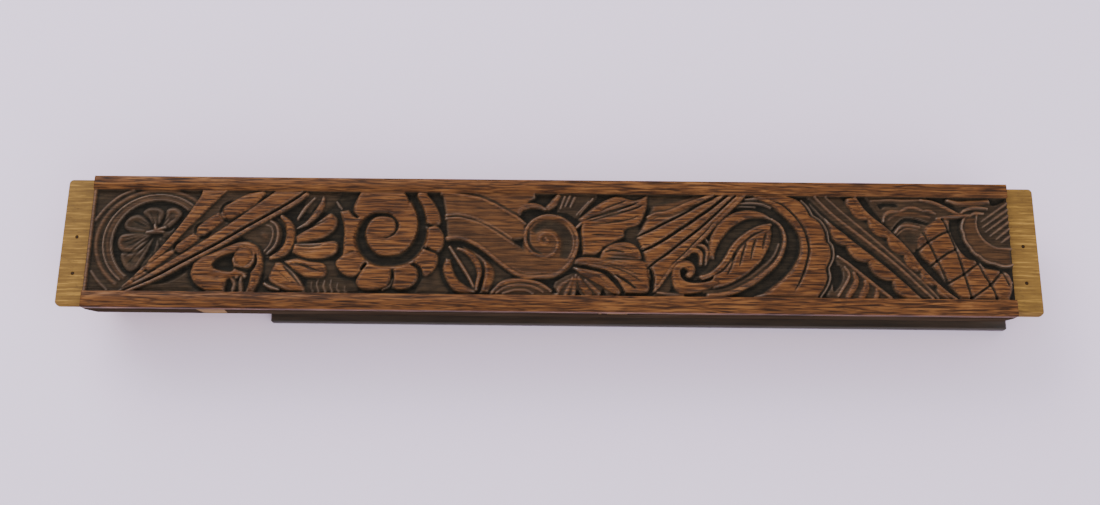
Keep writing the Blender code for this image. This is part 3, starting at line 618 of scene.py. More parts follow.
def carve_volute(r):
    """Two smooth ribbons that run into a spiral volute."""
    upper = [(-26, 12.8), (-22.1, 12.3), (-19.2, 11.9), (-16.5, 11.3), (-14.2, 10.4), (-11.8, 9.1),
             (-9.7, 7.9), (-7.6, 6.7), (-5.8, 5.2)]
    middle = [(-24.9, 7.2), (-22.3, 7.5), (-19.7, 7.1), (-17.1, 6.2), (-14.9, 5.2), (-12.8, 4.1),
              (-10.7, 2.8), (-9, 1.6)]
    lower = [(-24.4, 1.4), (-22.1, 1.7), (-20.2, 1.3), (-18.1, 0.4), (-16, -0.9), (-13.9, -2.5),
             (-11.8, -4.3), (-9.7, -5.9), (-7.6, -7.2), (-5.5, -7.9)]
    r.swell(outline([(-24, 13), (-4, 13), (-5.2, 10.6), (-7.2, 7.2)], upper[::-1]), -0.36, 0.15, 0.5)
    r.swell(outline(upper, [(-5.4, 1.6), (-9, 1.2)], middle[::-1]), -0.42, 0.25, 0.8)
    r.swell(outline(middle, [(-8.4, 0.6), (-5, -2), (-2, -7)], lower[::-1]), -0.5, 0.25, 0.8)
    r.swell(oval((0.4, -0.2), 6.6, 7.6, 0, 360), -0.46, 0.25, 0.8)
    r.hollow(outline([(-4.6, 3.6), (-2.6, 5.8), (0.4, 6.6), (3.6, 5.4), (5.7, 2.8), (5.9, -0.6),
                      (4.6, -3.4), (2.4, -3.2)], [(2.6, -1), (2.6, 1.4), (1, 3.4), (-1.4, 3.6),
                     (-3.2, 2.6)]), -0.95, 1.3)
    r.groove([(-4.8, 3.4), (-4.9, 0.9), (-3.8, -1.1), (-1.6, -2.2)], (0.5, 1.0, 0.5), 0.35)
    r.groove([(x, y + 0.75) for x, y in upper], (0.7, 0.8, 0.6), 0.3)
    r.band(upper, (0.9, 0.75, 0.65, 0.65, 0.5), -0.08, 0.3)
    r.groove([(x + 0.2, y - 0.4) for x, y in middle], (0.4, 0.5, 0.4), 0.3)
    r.band(middle, (0.5, 0.6, 0.55, 0.4), -0.16, 0.3)
    r.band([(-24.9, 6.4), (-21.8, 6.5), (-19.2, 5.95), (-16.5, 5.1), (-14.2, 3.8), (-12.1, 2.5),
            (-10.2, 1.2), (-8.4, 0.1)], (0.4, 0.55, 0.5, 0.3), -0.22, 0.3)
    coil = lower + [(-2.8, -7.9), (0.4, -7.6), (2.2, -7), (4.1, -5.4), (5.7, -3.3), (6.7, -0.6),
                    (6.8, 2), (5.8, 4.4), (4.1, 6), (2, 7), (0, 7.3), (-1.8, 7), (-3.9, 5.9),
                    (-5.3, 4.1), (-5.7, 2), (-5.3, -0.1), (-4.2, -1.7), (-2.6, -2.7), (-0.7, -3),
                    (0.9, -2.3), (1.9, -0.9), (2.1, 0.8), (1.2, 2.3), (-0.5, 2.9), (-1.9, 2.2),
                    (-2.3, 1)]
    r.groove([(x - 0.2, y - 0.7) for x, y in lower], (0.5, 0.7, 0.5), 0.5)
    r.band(coil, (0.8, 0.8, 0.8, 0.75, 0.7, 0.7, 0.65, 0.7, 0.9), -0.06, 0.32)
    r.band([(4.4, 4.8), (5.7, 2.4), (5.9, -0.4), (4.9, -3), (3.2, -5)], (0.3, 0.45, 0.3), -0.34, 0.2)
    r.band([(-8.6, -5.6), (-5.6, -6.9), (-2.4, -7), (1.4, -6.3)], (0.3, 0.5, 0.3), -0.3, 0.2)
    r.band([(-2.4, 0.9), (-1.2, 0.2), (-0.2, 0.9), (-0.8, 1.7)], (0.9, 1.2, 1.1, 0.7), -0.12, 0.35)
    r.band([(-7.5, 8), (-6.4, 9.2), (-4.7, 9.8), (-2.6, 9.6), (-1, 9)], (0.7, 1.4, 1.3, 0.6),
           -0.08, 0.4)
    r.groove([(-6, 7.6), (-4.8, 8.6), (-2.6, 8.6), (-0.8, 8.2)], (0.5, 1.2, 1.1, 0.6), 0.7, False)
    r.band([(-0.2, 9.4), (1, 10.4), (2.2, 12.2)], (1.2, 1.7, 1.2), -0.15, 0.4)
    r.hollow(outline([(-3.4, 11), (-1.4, 10.8), (0.4, 11.8), (1, 13), (-3.6, 13)]), -1.35, 0.6)


def carve_low_arcs(r):
    """Low leaf arcs under the volute, and the small leaves round its right foot."""
    r.swell(outline([(-13.6, -12.2), (-11.5, -9.6), (-8, -8.5), (-4.4, -8.7), (-1.8, -9.4),
                     (1.6, -12.2)]), -0.6, 0.2, 0.6)
    for path, width, top in (
            ([(-13.4, -11.8), (-11.6, -10), (-9.6, -9.1), (-7, -8.8), (-4.4, -9), (-1.8, -9.7),
              (0.8, -11.4)], (0.6, 1.2, 1.0, 0.8, 0.5), -0.1),
            ([(-12.4, -11.9), (-10.2, -10.5), (-7, -9.9), (-3.6, -10.3), (-1.2, -11.6)],
             (0.5, 0.8, 0.8, 0.4), -0.2),
            ([(-10.8, -12), (-8, -11.2), (-5.4, -11.2), (-3.6, -12)], (0.5, 0.8, 0.5), -0.28)):
        r.band(path, width, top, 0.4)
    r.swell(outline([(1.6, -9), (4.4, -7.4), (7, -7), (12, -9), (15.4, -12.2), (0.6, -12.2)]),
            -0.7, 0.2, 0.6)
    for path, width, top in (
            ([(2, -11.8), (3.2, -9.8), (5, -8.6)], 1.3, -0.3), ([(4.2, -11.8), (5.2, -9.8), (5.8, -8)],
            1.2, -0.22), ([(6, -11.8), (6.2, -9.6), (6.6, -7.4)], 1.3, -0.28),
            ([(9.6, -11.8), (8.2, -10), (7.2, -8)], 1.7, -0.16),
            ([(12, -11.8), (10.4, -10.2), (8.8, -8.6)], 1.2, -0.25)):
        r.band(path, (width, width, 0.6 * width), top, 0.4)
    for x, y in ((7.1, -11.6), (13.1, -11.4), (1.4, -11)):
        r.hollow(outline([(x - 0.8, y - 0.9), (x - 0.2, y + 0.8), (x + 1.1, y - 0.9)]), -1.4, 0.4)


def carve_veined_leaves(r):
    """Broad leaves to the right of the volute, cut with long veins."""
    for root, tip, width in (((2.7, 9.2), (3.8, 12.2), 0.8), ((3.9, 9.8), (5, 12.3), 0.9),
                             ((5.1, 9.6), (6.2, 12), 0.9), ((6.6, 7.6), (9.6, 11), 0.6),
                             ((7.4, 7.8), (10.6, 11.8), 0.5)):
        r.band([root, tip], (0.6 * width, width, width), -0.4, 0.4)
    r.swell(outline([(2, 8.4), (4.6, 8), (6.6, 6.8), (8, 8), (11.4, 12.9), (2.2, 12.9)]),
            -0.85, 0.1, 0.6)
    r.swell(outline([(7.2, 6.5), (9.4, 8.4), (11.2, 9.8), (13.6, 11.3), (15.7, 12.2),
                     (17.6, 12.2)], [(17.6, 12.2), (20.8, 11.4), (23.8, 12.6)],
                    [(23.8, 12.6), (23.7, 10.2), (22.9, 7.5), (21.8, 5.6), (20.4, 4.8),
                     (18.8, 4.4), (18, 3.4)], [(18, 3), (12, 4.6), (8.3, 5)]), -0.06, 0.5, 0.8)
    r.swell(outline([(18, 3.6), (18, 2.4), (16.2, 1.2), (14.1, 0.1), (13.2, -0.4)],
                    [(13.2, -0.4), (12.4, -1.4), (10.9, -2.2), (8.4, -2.2)],
                    [(8.2, -2.2), (8.2, 5.4), (14, 5)]), -0.03, 0.5, 0.7)
    r.swell(outline([(14, -0.2), (15.2, 0.4), (16.7, 0.8), (19.1, 0.8), (20.9, 0), (22, -1.6),
                     (22.2, -3.2), (20.6, -3.4), (16, -3), (12.6, -3.2), (12.8, -1.4)]),
            -0.06, 0.5, 0.9)
    r.swell(outline([(6.3, -3.6), (7.3, -3.1), (9.9, -2.9), (15, -3.4), (22.5, -3.7), (23.7, -5.6),
                     (24, -8.3), (23.7, -11.1), (20.4, -11.6), (17.8, -11.2), (15.8, -8.4),
                     (13.8, -6.7), (9.9, -5.4), (6.2, -4.5)]), -0.06, 0.5, 0.8)
    r.swell(outline([(6, -5.4), (8.6, -5.8), (12.5, -6.6), (14.8, -8.4), (17, -10.9),
                     (16.8, -12), (15.2, -11.6), (12.5, -10), (9.9, -8.5), (7.6, -7.2)]),
            -0.1, 0.5, 0.8)
    for vein, width, depth in (
            ([(8.6, 6.4), (12.5, 7.7), (16.7, 9.1), (21.6, 10.8)], 1.1, 0.55),
            ([(9.6, 6), (15.2, 7.7), (20.4, 9.2), (23, 10.4)], 0.8, 0.5),
            ([(12.4, 8.6), (15, 9.9), (18.6, 11.2)], 0.8, 0.4),
            ([(9.6, 5.2), (14, 5.6), (19.4, 6.6), (22, 7.6)], 0.7, 0.35),
            ([(10, 2.5), (11.6, 2.6), (13.6, 2.4)], 0.5, 0.35),
            ([(9, 0.8), (11, 0.9), (12.8, 0.5)], 0.5, 0.3),
            ([(9, 3.9), (12.6, 4.1), (16.8, 3.4)], 0.5, 0.25),
            ([(13.4, -1.6), (15.6, -1.2), (18.4, -1.7)], 0.8, 0.5),
            ([(15.4, -0.2), (18, -0.3), (20.6, -1.4)], 0.5, 0.35),
            ([(14.4, -2.4), (18, -2.5), (21.2, -2.9)], 0.6, 0.45),
            ([(8.4, -3.9), (13, -4.2), (17.4, -5.4), (22.6, -7.6)], 0.6, 0.35),
            ([(9.4, -4.6), (14, -5), (18.6, -6.6), (22.8, -9.2)], 0.6, 0.4),
            ([(12.6, -3.6), (17.4, -4.2), (22.4, -5.8)], 0.5, 0.3),
            ([(15.6, -7), (18.4, -8.6), (21, -10.6)], 0.9, 0.6),
            ([(8, -6.3), (12, -7.8), (15.2, -10.6)], 0.5, 0.3)):
        r.groove(vein, (0.5 * width, 1.2 * width, 0.5 * width), 1.3 * depth)
    r.groove([(6, -4.7), (9.9, -5.4), (13.8, -6.5), (15.8, -8.1), (17.1, -9.8), (18, -11.4)],
             (0.4, 0.9, 1.0, 0.9, 0.5), 0.9, False)
    r.band([(9.8, -4.8), (13, -5.4), (15.2, -6), (18.3, -7.4), (21.6, -9.4)], (0.3, 0.6, 0.6, 0.3),
           0.0, 0.25)
    r.band([(6.6, 4.4), (8.4, 6.1)], (0.4, 0.9), -0.2, 0.4)
    r.swell(outline([(18.4, 4.4), (21.6, 5.4), (22.4, 2), (24, -1), (23.8, -4.8), (22.4, -3.4),
                     (21.8, -1), (19, 1), (18.2, 2.4)]), -0.95, 0.2, 0.8)


def carve_reeds(r):
    """A sheaf of reeds that rises to the right, grooved between, silver along its edges."""
    edges = (
        [(24.9, 10.5), (27, 10.9), (30.9, 11.7), (35, 12.9)],
        [(23.8, 7.2), (25.7, 8.1), (28.3, 8.4), (30.9, 9.4), (33.6, 10.7), (36.2, 11.7), (39.6, 12.9)],
        [(21, 2.2), (24.9, 4.1), (27.8, 5.7), (30.9, 7.3), (33.6, 8.8), (36.2, 10.4),
         (40.8, 12.9)],
        [(22.6, -1.2), (24.9, -0.1), (27.3, 1.3), (29.4, 2.7), (31.5, 4.2), (33.6, 5.6),
         (36.2, 7.5), (38.8, 9.3), (43.2, 12.9)],
        [(23.6, -5.6), (25.7, -3.8), (28.3, -1.95), (30.9, 0.2), (33.6, 2.3), (36.2, 4.4),
         (39.9, 7.8), (45.2, 12.9)],
        [(25.2, -10.8), (26.5, -9.3), (28.3, -6.7), (30.4, -4.05), (33.05, -1.7), (35.7, 1.2),
         (38.3, 3.8), (40, 5.8), (43.2, 9), (47, 12.9)],
    )
    for upper, lower, top in zip(edges, edges[1:], (-0.5, -0.22, -0.1, -0.05, -0.05)):
        r.swell(outline(upper, lower[::-1]), top, 0.55, 1.1)
    for edge, width in zip(edges[2:-1], (0.6, 0.9, 0.6)):
        r.groove(edge, (0.6 * width, width, width, 0.7 * width), 0.6, False)
    r.band([(x - 0.3, y + 0.75) for x, y in edges[3]], (0.3, 0.8, 0.9, 0.8, 0.5), -0.1, 0.4)
    r.band([(x + 0.1, y - 0.1) for x, y in edges[-1]], (0.6, 0.9, 0.9, 0.8), -0.02, 0.4)
    r.band(edges[1], (0.4, 0.8, 0.8, 0.7), -0.06, 0.35)
    r.groove([(x + 0.5, y - 0.9) for x, y in edges[1]], (0.4, 0.9, 0.9, 0.6), 0.35)
    r.groove([(29.6, -4.6), (32.2, -2), (35, 1), (37.6, 3.6), (39.8, 6.4)], (0.3, 0.5, 0.5, 0.4),
             0.3)
    r.hollow(outline([(23.9, -5.4), (24.7, -5.6), (25.4, -8), (25, -11), (24.1, -11),
                      (24.4, -8)]), -1.4, 0.4)
    r.swell(outline([(27.4, -8), (29.4, -7), (29.4, -10), (27.8, -12.2), (25, -12.2)]), -0.8, 0.2,
            0.6)
    r.band([(27.2, -8.4), (28.6, -6.2), (30.2, -4.6)], (0.3, 0.7, 0.3), -0.5, 0.3)


def carve_paisley(r):
    """The curled drop: a broad left band, a thin right ridge, a veined leaf inside."""
    outer = [(38.4, -2.8), (38.6, 0.6), (39.3, 3.2), (41.3, 6.2), (43.9, 8.1), (46.6, 9),
             (49.2, 9.1), (51.8, 8.4), (53.6, 7.2)]
    inner = [(53.6, 7), (51, 7.4), (47.9, 7), (45.3, 5.8), (43.2, 4), (41.3, 1.6), (40, -1),
             (39.6, -3)]
    r.swell(outline([(38, -5), (38.4, -0.4), (41, 6), (46.6, 9.3), (52.6, 8.2), (56, 5.4),
                     (57.1, 1.8), (55.4, -3), (51, -7.6), (45.4, -11.4), (40, -12.2),
                     (33, -12.2), (33, -9)]), -1.05, 0.2, 0.8)
    r.swell(outline(outer, inner), -0.03, 0.5, 0.8)
    r.groove([(44, 7.2), (48.6, 8.2), (52.2, 7.6)], (0.2, 0.4, 0.2), 0.15)
    ridge = [(53.8, 7), (55.5, 5.7), (56.4, 4.1), (56.7, 2), (56.3, -0.1), (55.3, -2.5),
             (53.7, -4.6), (51.6, -6.4), (49.2, -8.3), (46.6, -9.8), (44.6, -10.8), (42, -11.6),
             (38, -11.9)]
    r.band(ridge, (0.4, 0.9, 1.1, 1.2, 1.3, 1.2, 0.8), -0.06, 0.5)
    r.band([(x - 1.0, y + 0.9) for x, y in ridge[4:]], (0.8, 1.4, 1.4, 1.0), -0.6, 0.4)
    leaf_top = [(53.4, 5.6), (51, 5.1), (48.4, 3.8), (46, 2), (44.2, 0), (42.9, -2.2),
                (41.6, -4.2), (40, -5.8), (38.2, -7), (36.4, -7.5)]
    leaf_low = [(36.4, -8.9), (39.4, -9.4), (42.2, -9.2), (44.8, -8), (47.4, -6.4), (50, -4.3),
                (51.6, -2.2), (53, 0.6), (53.6, 3.4)]
    r.swell(outline(leaf_top, leaf_low), -0.05, 0.5, 0.8)
    r.groove([(52.6, 4.4), (49.6, 3.2), (47, 1.2), (45.1, -1), (43.6, -3.4), (41.6, -5.8),
              (39, -7.4)], (0.3, 1.0, 1.1, 0.9, 0.4), 0.6)
    for vein in ([(49.9, 2.4), (48.9, -0.5), (48.3, -3.3)], [(47.4, 1), (46.4, -1.9), (45.6, -5)],
                 [(52.3, 3.6), (51.6, 1), (51.3, -0.8)], [(44.8, -1.6), (43.7, -4.8), (42.6, -7)]):
        r.groove(vein, (0.6, 0.8, 0.3), 0.55)
    r.band(leaf_top, (0.5, 0.6, 0.7, 0.7, 0.5), -0.06, 0.3)
    r.band([(50.6, -3.4), (47.5, -6), (44.7, -7.8), (42, -9.2), (39.4, -9.9)],
           (0.3, 0.8, 0.8, 0.4), -0.05, 0.35)


def carve_small_curl(r):
    """The little scroll and the hooks at the drop's lower left."""
    body = outline([(29.5, -5.6), (30.4, -4.4), (31.7, -3.6), (33.6, -3.6), (34.9, -4.8),
                    (34.9, -6.4), (33.8, -7.6), (32.8, -7.2), (33.3, -6), (32.6, -5.4)],
                   [(32, -5.6), (31.7, -6.8), (32.4, -8), (34.2, -8.7), (36.7, -8.6),
                    (39.4, -7.8)],
                   [(41, -9), (38, -10.4), (35, -11.4), (31.4, -11.6), (29.8, -9.8), (29.3, -7.6)])
    r.swell(body, -0.05, 0.5, 0.8, over=True)
    r.hollow(outline([(31.4, -5.8), (32.4, -5.2), (32.6, -6.6), (33.4, -7.7), (36.2, -8.2),
                      (39.4, -7.2), (38.6, -8.5), (35.4, -9), (32.8, -8.7), (31.5, -7.4)]),
             -1.35, 0.5)
    r.groove([(30.6, -6.2), (31, -8.6), (33, -10.2), (36.6, -10.2), (40, -9.6)], (0.3, 0.5, 0.3),
             0.2)
    r.band([(33.4, -2), (34.2, -1.1), (35.4, -0.9), (36.5, -2), (36.4, -4.2)],
           (0.6, 1.2, 1.1, 0.6), -0.1, 0.4)
    r.band([(35.4, 0.4), (37, 0.2), (38, -1.2), (37.6, -3.6)], (0.5, 0.8, 0.8, 0.4), -0.15, 0.35)
    r.band([(37.6, 2.2), (38.6, 0.4), (38.6, -2), (37.6, -4.2)], (0.4, 0.6, 0.5), -0.5, 0.3)
    r.band([(26, -11.4), (28.6, -11.8), (32, -12)], (0.8, 1.0, 0.8), -0.4, 0.4)


def carve_c_band(r):
    """The C-shaped band at the drop's right, notched along its outer edge."""
    inner = [(49.4, 13), (51.4, 11.6), (53.8, 10.4), (55.8, 8.6), (58.4, 5.9), (60, 3.3),
             (60.4, 0.7), (60, -1.95), (58.7, -4.6), (56.8, -6.9), (54.7, -8.8), (52, -11),
             (49, -12.2)]
    outer = [(57.4, 13), (60.4, 11.8), (61.9, 10.1), (63, 8)]
    lobes = [(63, 8), (65, 6.5), (66.3, 4.1), (66.6, 1.7)]
    belly = [(66.7, 1.5), (67.5, 0.2), (67.5, -2.5), (66.3, -5)]
    foot = [(66.3, -5.2), (66.5, -7.5), (65.6, -9.8), (64, -12.2)]
    r.swell(outline(inner[::-1], outer, lobes, belly, foot), -0.03, 0.55, 0.9)
    r.groove([(52.6, 12.3), (53.9, 11.7), (56.3, 10.7), (58.4, 8.8), (60.3, 6.5), (61.6, 4.1),
              (62.2, 1.7), (62.4, -0.9), (61.8, -3.5), (61, -5.9), (59.7, -8.8), (58.3, -11)],
             (0.3, 0.7, 0.8, 0.8, 0.4), 0.65)
    for rim in (outer[1:], lobes, belly, foot):
        away = [(x + 0.75, y + 0.1) for x, y in rim]
        r.band(away, (0.4, 0.55, 0.4), -0.48, 0.35)
    r.swell(outline([(57, -6.9), (60, -2), (60.4, 1), (61, -2), (59.4, -6), (54, -11.8),
                     (50, -12.2)]), -0.4, 0.3, 0.8)
    for path, width, top in (
            ([(44.8, 10.6), (48, 11.1), (51.4, 10.9), (53.6, 10)], (0.4, 0.7, 0.5), -0.5),
            ([(47.6, 12), (50.4, 12.2), (53, 11.8)], (0.4, 0.7, 0.5), -0.4),
            ([(43.6, 9.6), (46.6, 10.2), (50, 10.1)], (0.3, 0.5, 0.3), -0.7)):
        r.band(path, width, top, 0.3)


def carve_diagonal_leaves(r):
    """A ridged ribbon and two notched leaves that fall to the right."""
    ribbon = [(64.4, 12.8), (66.3, 10.6), (68.9, 8), (71.6, 5.7), (74.2, 3.6), (77.9, 0.5),
              (83.3, -4.2), (88.5, -9.4), (91.4, -12.2)]
    r.swell(outline([(63.4, 10.6), (66.6, 6.8), (71.4, 2.8), (77.6, -2.8), (84, -8.6),
                     (88.4, -12.2)], [(94.4, -12.2), (88, -5.6), (82, 1), (77.6, 5.6), (73.4, 9.8),
                     (70.6, 12.9)], [(62.6, 12.9)]), -0.78, 0.15, 0.8)
    r.band(ribbon, (0.7, 0.9, 0.9, 0.9, 0.7), -0.3, 0.4)
    r.band([(67, 12.8), (69.6, 10.2), (71.8, 8.1), (75, 5.2), (78.4, 2.1), (83.6, -2.8),
            (89, -8), (92.6, -12)], (0.5, 0.8, 0.8, 0.6), -0.42, 0.35)
    r.groove([(x - 1.3, y - 0.9) for x, y in ribbon], (0.8, 1.2, 1.2, 0.9), 0.4, False)
    upper_q = [(66.6, 7.4), (68.7, 5.5), (71, 3.6), (73.7, 1.2), (76.3, -0.9), (78, -2.3),
               (81, -4.9), (83.5, -7.2), (86.4, -10), (88.6, -12.2)]
    leaf_q = scallops((67.6, 4.8), (71.4, 0.6), (76.4, -3.4), (81.9, -7.9), (85.4, -12.2),
                      bulge=0.2)
    r.swell(outline(leaf_q, upper_q[::-1]), -0.04, 0.5, 0.8)
    r.groove([(69.2, 3.6), (72.4, 1), (77.4, -3), (82.4, -8), (86, -11.8)], (0.2, 0.4, 0.4, 0.2),
             0.16)
    leaf_s = scallops((72.1, 12.4), (72.7, 9.8), (76.8, 7.1), (81.2, 2.6), (85, -1.6),
                      (88.6, -5.7), (92.2, -9.2), (95.2, -12.2), bulge=0.22)
    upper_s = [(97, -12.2), (94.8, -10.6), (91.6, -7.6), (89, -4.7), (86.8, -1.4), (84.8, 1.2),
               (83, 3), (80.9, 5.1), (78, 7.6), (76, 9.8), (74.2, 12.9)]
    r.swell(outline(leaf_s, upper_s), -0.04, 0.5, 0.7)
    r.groove([(x - 0.7, y - 0.45) for x, y in upper_s], (0.4, 0.5, 0.5, 0.4), 0.35, False)
    r.band([(x - 0.15, y - 0.05) for x, y in upper_s], (0.4, 0.8, 0.8, 0.5), -0.02, 0.35)
    r.swell(outline([(68.6, -2.4), (72, -4), (78, -9.4), (81, -12.2), (67.4, -12.2),
                     (67.4, -9.6), (69.8, -6)]), -0.75, 0.15, 0.6)
    r.hollow(outline([(67.9, -4.6), (69.6, -4.2), (70.4, -6), (70, -8.6), (68, -10.8),
                      (67.6, -8)]), -1.4, 0.6)
    r.band([(69.3, -2.1), (71.6, -3.8), (74.2, -6.1), (77.9, -9.3), (81.4, -12.2)],
           (0.5, 0.8, 0.9, 0.8), -0.15, 0.4)
    for root, bend, tip, width, top in (
            ((70.8, -4.6), (71.7, -7), (68.9, -11.8), 0.8, -0.2),
            ((72.9, -6.2), (73.3, -8.4), (71.2, -12), 1.6, -0.1),
            ((75.6, -8.2), (75.6, -9.8), (74.4, -12), 1.9, -0.1),
            ((78, -10.2), (78.1, -11), (77.8, -12), 1.5, -0.15)):
        r.band([root, bend, tip], (0.6 * width, width, 0.9 * width), top, 0.5)


def carve_curled_leaf(r):
    """A sunk leaf that curls over, above the pineapple."""
    r.swell(outline([(76.6, 12.9), (79.4, 8.4), (84, 3), (87.4, -0.8), (89.4, 2), (93, 6.6),
                     (96, 8), (98.6, 8.8), (95, 11), (91, 12.9)]), -0.72, 0.2, 0.8)
    for lobe in ([(80.7, 6.8), (81, 8), (82.2, 9.1), (84.6, 9.3)],
                 [(84.8, 9.2), (86.7, 10.2), (88.6, 10.2), (90.4, 9.5)],
                 [(90.4, 9.4), (91.8, 9.5), (93.4, 8.8)]):
        r.band(lobe, (0.5, 1.0, 1.0, 0.5), -0.3, 0.35)
    r.band([(82, 7.2), (83.6, 8.2), (86.4, 8.8), (90, 8.4), (92, 7.8)], (0.8, 1.6, 1.6, 0.8),
           -0.5, 0.3)
    r.groove([(82.8, 4.4), (84.2, 6), (85.9, 7.2), (88, 7.1), (90, 6.6), (91.6, 6.2)],
             (0.4, 1.0, 1.2, 0.7), 0.85, False)
    r.band([(83.4, 3.9), (84.6, 5.3), (86.4, 5.8), (89.4, 5.4)], (0.5, 0.8, 0.8, 0.4), -0.28, 0.35)
    r.band([(83.8, 3.4), (85.4, 4.7), (87, 4.9), (88.9, 4.6)], (0.3, 0.5, 0.3), -0.4, 0.3)
    r.hollow(outline([(85, 3.6), (86.8, 4.2), (88.4, 3.6), (88.2, 1.6), (87, 0.8), (85.6, 1.8)]),
             -0.95, 1.0)
    r.hollow(outline([(79.2, 11.2), (80.2, 9.8), (81.4, 10.4), (84.6, 10.4), (84, 11.4),
                      (81, 11.6)]), -1.2, 0.5)
    r.band([(78, 11.9), (82, 12.2), (86, 12.1), (90, 12.2)], (0.5, 0.8, 0.6), -0.45, 0.3)
    r.band([(90, 12.2), (92.7, 11.7), (95.1, 10.7), (97.5, 9.4), (99.4, 8.4)],
           (0.6, 0.9, 0.9, 0.7), -0.15, 0.4)
    r.band([(93.6, 7.6), (96.4, 8), (100.8, 8.4)], (0.5, 0.9, 0.8), -0.12, 0.35)


def carve_pineapple(r):
    """A fruit with crossed grooves over its flat skin."""
    r.swell(outline([(96.6, 7.2), (94.8, 7.7), (92.7, 6.9), (90.4, 5), (88.7, 2.4), (88.5, 0.2),
                     (89.6, -2.2), (92, -4.6), (94.6, -7.8), (97.8, -12.2)],
                    [(109.4, -12.2), (110.4, -9.2), (109.8, -6.2), (107.6, -5.2), (104.4, -4.6),
                     (102.8, -3), (100.6, -2.4), (98.8, -0.6), (97.3, 2.2), (96.4, 5)]),
            -0.04, 0.6, 1.2)
    for line in ([(94.9, 7.5), (95.9, 5.2), (96.9, 2.3), (98, -1.4), (99.05, -5.9), (100.5, -12)],
                 [(90.1, 3.9), (91.2, 1.5), (92.5, -1.7), (93.8, -4.8), (95.2, -8.4)],
                 [(102.5, -2.8), (103.8, -6.2), (105.4, -9.05), (106.5, -12)],
                 [(108.1, -5), (109.7, -9)],
                 [(88.4, -0.6), (90.9, 1.5), (93.8, 3.3), (96.3, 4.5)],
                 [(91.7, -4), (93.3, -2.7), (95.4, -1.2), (97.7, 0)],
                 [(95.6, -8.2), (99.05, -6.2), (100.9, -4.8), (102.9, -3.3)],
                 [(100.5, -12), (103.3, -10.1), (105.4, -8.5), (108.2, -5.4)]):
        r.groove(line, 0.8, 0.62, False)
    r.band([(107.6, -11.8), (109.4, -9.6), (110.4, -8)], (0.6, 0.5, 0.3), -0.3, 0.3)


def carve_right_ring(r):
    """Right end: a sunk notched ring, with ribs fanning through it."""
    r.swell(outline([(96.6, 12.9), (99, 9), (99.6, 6), (100.6, 1.6), (104, -3.2), (111, -4.6)],
                    [(111, -4.6), (111, 12.9)]), -0.85, 0.15, 0.8)
    notched = scallops((101.4, 8.6), (99.8, 6.6), (99.9, 3.9), (101.2, 0.6), (103.2, -1.6),
                       (106.8, -3.4), (111, -3.7), bulge=0.12)
    r.swell(outline(notched, [(111, 0.6), (107.5, 0.8), (105.4, 1.9), (103.9, 3.6), (103.3, 5.8),
                              (103.4, 8)]), -0.6, 0.4, 0.8, over=True)
    r.band(notched, 0.5, -0.28, 0.3)
    r.band([(103.4, 8.6), (103, 5.9), (103.8, 3.3), (105.4, 1.5), (107.5, 0.4), (111, 0.2)],
           (0.3, 0.5, 0.5, 0.5), -0.28, 0.3)
    for path, width, top in (
            ([(99.6, 9), (100.9, 9.9), (103.3, 10.4), (106, 10.2)], (0.5, 0.8, 0.6), -0.2),
            ([(96.6, 12.2), (99.6, 11.4), (103.4, 11.6), (106.4, 12)], (0.8, 1.6, 1.2), -0.3),
            ([(101.6, 8.4), (103, 9), (105, 9)], (0.6, 1.0, 0.6), -0.35)):
        r.band(path, width, top, 0.35)
    for root, tip in (((104.4, 7), (110.9, 11.6)), ((104.6, 5.6), (110.9, 10)),
                      ((105.2, 4.4), (110.9, 8.5)), ((106.2, 3.4), (110.9, 6.9)),
                      ((107.6, 2.6), (110.9, 5.2)), ((108.8, 1.8), (110.9, 3.4))):
        r.band([root, tip], (0.4, 0.8, 0.9), -0.45, 0.4)
    r.hollow(outline([(106.4, 13), (107.4, 11), (110, 11.8), (111, 13)]), -1.35, 0.5)


def hand_work(r):
    """Slight unevenness left by the gouges, and tool marks on the ground."""
    rng = np.random.default_rng(SEED)
    rows, cols = r.height.shape

    def waves(step_x, step_y):
        grid = rng.normal(size=(int(rows / step_y) + 3, int(cols / step_x) + 3))
        u = np.arange(cols) / step_x
        v = np.arange(rows) / step_y
        across = np.stack([np.interp(u, np.arange(grid.shape[1]), row) for row in grid])
        return np.stack([np.interp(v, np.arange(grid.shape[0]), col) for col in across.T], 1)

    low = np.clip((-0.7 - r.height) / 0.6, 0.0, 1.0)
    r.height += 0.012 * waves(14, 9) + low * (0.03 * waves(6, 5) + 0.015 * waves(3, 3))


def blurred(field, spread):
    """The field softened over a number of its own steps."""
    reach = int(3 * spread + 1)
    weights = np.exp(-0.5 * (np.arange(-reach, reach + 1) / spread) ** 2)
    weights /= weights.sum()
    for axis in (0, 1):
        padded = np.pad(field, [(reach, reach) if a == axis else (0, 0) for a in (0, 1)], "edge")
        size = field.shape[axis]
        field = sum(w * np.take(padded, np.arange(k, k + size), axis)
                    for k, w in enumerate(weights))
    return field


